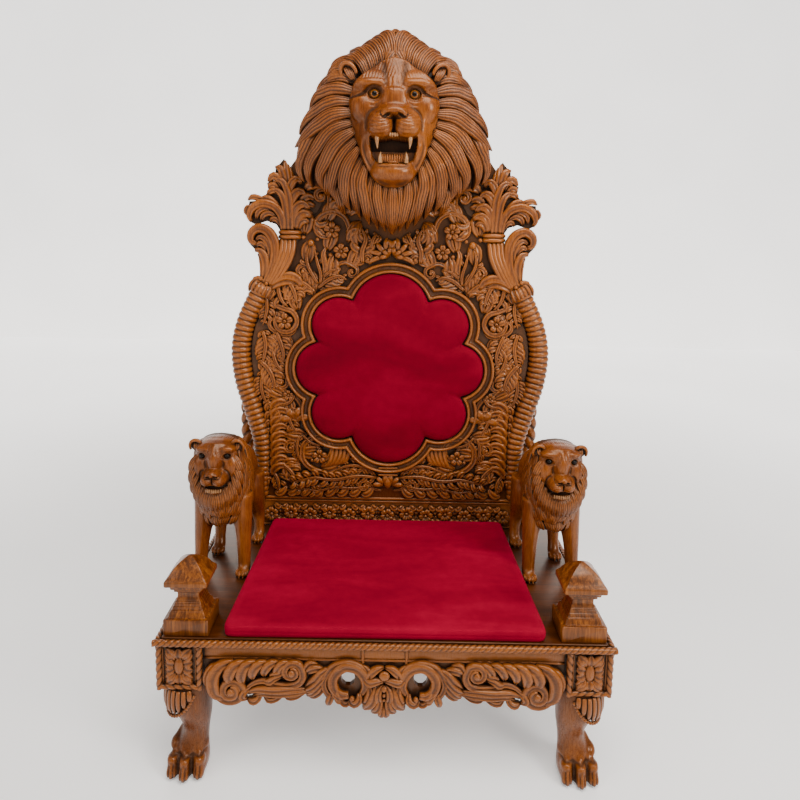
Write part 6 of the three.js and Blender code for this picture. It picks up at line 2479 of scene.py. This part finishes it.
# ---- Capitals ------------------------------------------------------------------------------------
@dataclass
class Capitals:
    """The leaf capitals: a fluted vase under a double ring, a rolled leaf and a spray of leaves."""

    ground: Ground = Ground(246.0)
    back: float = 248.6
    vase: Flat = (345.5, 243.0)
    right_half: tuple[Ornament, ...] = (
        # flutes of the vase
        Lobe(((400, 1272), (364, 1318), (338, 1372), (330, 1426)), 7.5, 26.0, 6.0, 1, (0.8, 0.9, 1.0, 1.0)),
        Lobe(((408, 1270), (374, 1322), (350, 1374), (344, 1426)), 7.5, 28.0, 6.0, 1, (0.8, 0.9, 1.0, 1.0)),
        Lobe(((416, 1270), (384, 1326), (362, 1376), (358, 1426)), 7.5, 28.0, 6.0, 1, (0.8, 0.9, 1.0, 1.0)),
        Lobe(((422, 1274), (394, 1328), (374, 1378), (371, 1426)), 7.5, 26.0, 6.0, 1, (0.8, 0.9, 1.0, 1.0)),
        # rolled outer leaf
        Lobe(((430, 1276), (400, 1340), (394, 1404), (412, 1448), (444, 1464), (472, 1448), (476, 1420),
              (458, 1410)), 13, 27.0, 7.0, 3, (0.7, 0.9, 1.0, 1.0, 1.0, 0.95, 0.8, 0.4)),
        Lobe(((414, 1330), (410, 1390), (424, 1424), (446, 1434), (462, 1420)), 9, 23.0, 5.0),
        Lobe(((420, 1380), (430, 1404), (446, 1412), (458, 1402)), 8, 20.0, 5.0),
        Lobe(((434, 1282), (426, 1330), (430, 1366), (446, 1388), (464, 1388)), 12, 20.0, 6.0, 2,
             (0.8, 1.0, 1.0, 0.9, 0.4)),
        Lobe(((444, 1290), (438, 1330), (442, 1360), (454, 1376)), 8, 16.0, 5.0),
        Berry((443, 1292), 8, 20.0), Berry((424, 1276), 7, 22.0), Berry((456, 1282), 7, 16.0),
        Lobe(((428, 1262), (440, 1284), (460, 1290), (474, 1276)), 9, 18.0, 5.0),
        # collar of small leaves over the top of the column
        *(Lobe(((432 + 0.9 * t, 1276 + 0.44 * t), (442 + 0.94 * t, 1256 + 0.46 * t),
                (454 + t, 1232 + 0.48 * t)), 9.5, 33.0 - 0.02 * t * t, 6.0, 2, (0.6, 0.9, 1.0, 0.8, 0.2))
          for t in (-34, -21, -7, 7, 21, 34)),
        # upright leaf of the spray
        Lobe(((342, 1456), (342, 1520), (346, 1570), (362, 1612), (384, 1626), (402, 1610)), 10, 25.0, 6.0, 2,
             (0.8, 1.0, 1.0, 1.0, 0.8, 0.3)),
        Lobe(((354, 1456), (357, 1520), (366, 1566), (388, 1590), (408, 1584)), 10, 23.0, 6.0, 2,
             (0.8, 1.0, 1.0, 0.9, 0.3)),
        Lobe(((352, 1580), (350, 1626), (356, 1662), (362, 1688)), 9, 18.0, 5.0),
        Lobe(((362, 1596), (366, 1640), (378, 1664), (394, 1666)), 10, 19.0, 5.0),
        Lobe(((372, 1600), (384, 1632), (402, 1636), (418, 1618)), 10, 20.0, 5.0),
        Lobe(((380, 1590), (396, 1606), (410, 1604), (416, 1594)), 8, 18.0, 5.0),
        Lobe(((380, 1576), (396, 1588), (412, 1584), (420, 1572)), 8, 17.0, 5.0),
        Lobe(((348, 1560), (338, 1610), (344, 1648), (352, 1676)), 8, 16.0, 5.0),
        # lobes that arch towards the middle
        Lobe(((350, 1540), (346, 1590), (332, 1622), (314, 1626), (308, 1610)), 11, 22.0, 6.0, 3),
        Lobe(((346, 1500), (338, 1556), (320, 1584), (300, 1584), (294, 1570)), 12, 23.0, 6.0, 3),
        Lobe(((338, 1462), (330, 1516), (312, 1542), (290, 1542), (282, 1526)), 12, 23.0, 6.0, 3),
        Lobe(((326, 1460), (320, 1492), (304, 1512), (284, 1512), (274, 1500)), 12, 21.0, 6.0, 3),
        Lobe(((316, 1460), (308, 1482), (294, 1490), (282, 1480)), 9, 18.0, 5.0),
        # leaf that rolls outwards
        Lobe(((366, 1458), (372, 1504), (396, 1536), (436, 1546), (470, 1528), (482, 1500), (474, 1484)), 11,
             25.0, 6.0, 3, (0.7, 0.9, 1.0, 1.0, 1.0, 0.8, 0.35)),
        Lobe(((374, 1500), (392, 1540), (420, 1562), (448, 1560)), 10, 20.0, 5.0),
        Lobe(((420, 1552), (446, 1562), (470, 1566), (486, 1556)), 8, 18.0, 5.0),
        Lobe(((400, 1520), (428, 1530), (452, 1516), (458, 1492)), 8, 20.0, 5.0),
        Lobe(((390, 1500), (412, 1514), (434, 1506), (442, 1486)), 8, 18.0, 5.0),
        Lobe(((468, 1530), (484, 1534), (492, 1520), (488, 1502)), 7, 17.0, 5.0),
        Lobe(((376, 1470), (388, 1492), (404, 1494), (412, 1482)), 7, 15.0, 4.0),
        # curled leaf below, towards the frame
        Lobe(((424, 1262), (392, 1290), (354, 1304), (320, 1294), (302, 1268)), 12, 22.0, 6.0, 3,
             (0.5, 0.9, 1.0, 1.0, 0.5)),
        Lobe(((420, 1252), (388, 1274), (352, 1284), (326, 1270)), 10, 19.0, 5.0),
    )

    def ring(self, carving: Carving) -> None:
        """Adds the double ring that binds the vase."""
        x, y = self.vase
        angle = np.linspace(math.pi, 2 * math.pi, 20)
        for height in (1450, 1435):
            path = np.column_stack([x + 33 * np.cos(angle), y + 19 * np.sin(angle), np.full(20, height)])
            round_bar(carving, path, np.full(20, 7.4), 14, None, (0, 0, 1))
        # A band behind the two rings, wholly in painted shade.
        ball(carving, (x, y - 3, 1442), (28, 16, 12), 16, 8, 1.0)

    def build(self, finishes: Finishes) -> None:
        """Makes both capitals and dresses them."""
        carving = Carving()
        carve_all(carving, self.ground, self.right_half)
        self.ring(carving)
        relief = dressed(carving.make("capital_relief"), finishes.carved)
        core = dressed(copy_of("right_capital", "capital_core"), finishes.ground)
        co = positions(core)
        co[:, 1] = np.where(co[:, 1] < self.back, self.back - (self.back - co[:, 1]) * 0.25, co[:, 1])
        # The core, pressed back behind the relief, is wholly in painted shade.
        reshape(core, co, np.ones(len(co)))
        tie_pair(joined("right_capital_carved", [relief, core]), "capital")


# ---- Studio --------------------------------------------------------------------------------------
@dataclass
class Studio:
    """A pale floor and backdrop that glow, dimmed near the throne as painted shadow, soft light and the
    camera.
    """

    lens: float = 28.8
    eye: Point = (0.0, -1.942, 1.481)
    pitch: float = -7.0
    roll: float = 1.0
    shift: Flat = (0.0115, -0.1206)

    def surroundings(self) -> None:
        """Makes the floor and the backdrop, whose glow is dimmed near the throne as painted shadow."""
        pale = Shader("pale studio")
        mottle = pale.noise(pale.place, 1.2, 2.0)
        shade = pale.ramp(mottle, (0.3, (0.82, 0.80, 0.78)), (0.7, (0.86, 0.84, 0.82)))
        # Painted shadow: the glow is dimmest within 1.2 m of the middle and rises to full by 4.5 m.
        away = pale.node("ShaderNodeVectorMath", {"operation": "LENGTH"}, {0: pale.place}, "Value")
        glow = pale.blend(pale.span(away, 1.2, 4.5), (0.21, 0.205, 0.20), shade)
        pale.set(Base_Color=shade, Emission_Color=glow, Roughness=0.5, Emission_Strength=1.6)
        for name, place, turn in (("studio_floor", (0, 0, 0), 0.0), ("studio_backdrop", (0, 6.0, 0), 90.0)):
            bpy.ops.mesh.primitive_plane_add(size=16, location=place, rotation=(math.radians(turn), 0, 0))
            plane = bpy.context.object
            plane.name = name
            settle(plane)
            plane.data.materials.append(pale.material)

    def lamp(self, name: str, place: Point, target: Point, size: float, power: float, colour: Point) -> None:
        """Adds one soft lamp."""
        light = bpy.data.lights.new(name, "AREA")
        light.size = size
        light.energy = power
        light.color = colour
        lamp = bpy.data.objects.new(name, light)
        bpy.context.collection.objects.link(lamp)
        lamp.location = place
        lamp.rotation_euler = (Vector(target) - Vector(place)).to_track_quat("-Z", "Y").to_euler()

    def build(self) -> None:
        """Sets up the floor, the backdrop, the lights, the world and the camera."""
        self.surroundings()
        self.lamp("ceiling light", (0.5, -1.3, 3.7), (0, 0.1, 1.1), 2.1, 132, (1.0, 0.97, 0.93))
        self.lamp("window light", (2.7, -2.3, 2.5), (0, 0, 1.0), 1.2, 98, (1.0, 0.98, 0.96))
        self.lamp("fill light", (-2.6, -2.2, 2.0), (0, 0, 1.0), 1.8, 30, (1.0, 0.97, 0.94))
        world = bpy.data.worlds.new("studio")
        world.use_nodes = True
        world.node_tree.nodes["Background"].inputs[0].default_value = (0.80, 0.79, 0.78, 1)
        world.node_tree.nodes["Background"].inputs[1].default_value = 0.5
        bpy.context.scene.world = world
        data = bpy.data.cameras.new("camera")
        data.lens = self.lens
        data.sensor_width = 36.0
        data.shift_x, data.shift_y = self.shift
        camera = bpy.data.objects.new("camera", data)
        bpy.context.collection.objects.link(camera)
        turn = Matrix.Rotation(math.radians(90 + self.pitch), 3, "X") @ Matrix.Rotation(
            math.radians(self.roll), 3, "Z")
        camera.rotation_euler = turn.to_euler()
        camera.location = self.eye
        bpy.context.scene.camera = camera


def main() -> None:
    """Builds the throne from the floor up, then the studio."""
    logging.basicConfig(level=logging.INFO, format="%(message)s")
    finishes = Finishes()
    for part in (Deck(), RopeMouldings(), Legs(), Apron(), HiddenRails(), Pedestals(), SeatCushion(),
                 MedallionFrame(), BackCushion(), Columns(), SpiralPosts(), LowerRail(), BackPanel(),
                 Capitals(), Crest(), Lions()):
        part.build(finishes)
    Studio().build()


if __name__ == "__main__":
    main()
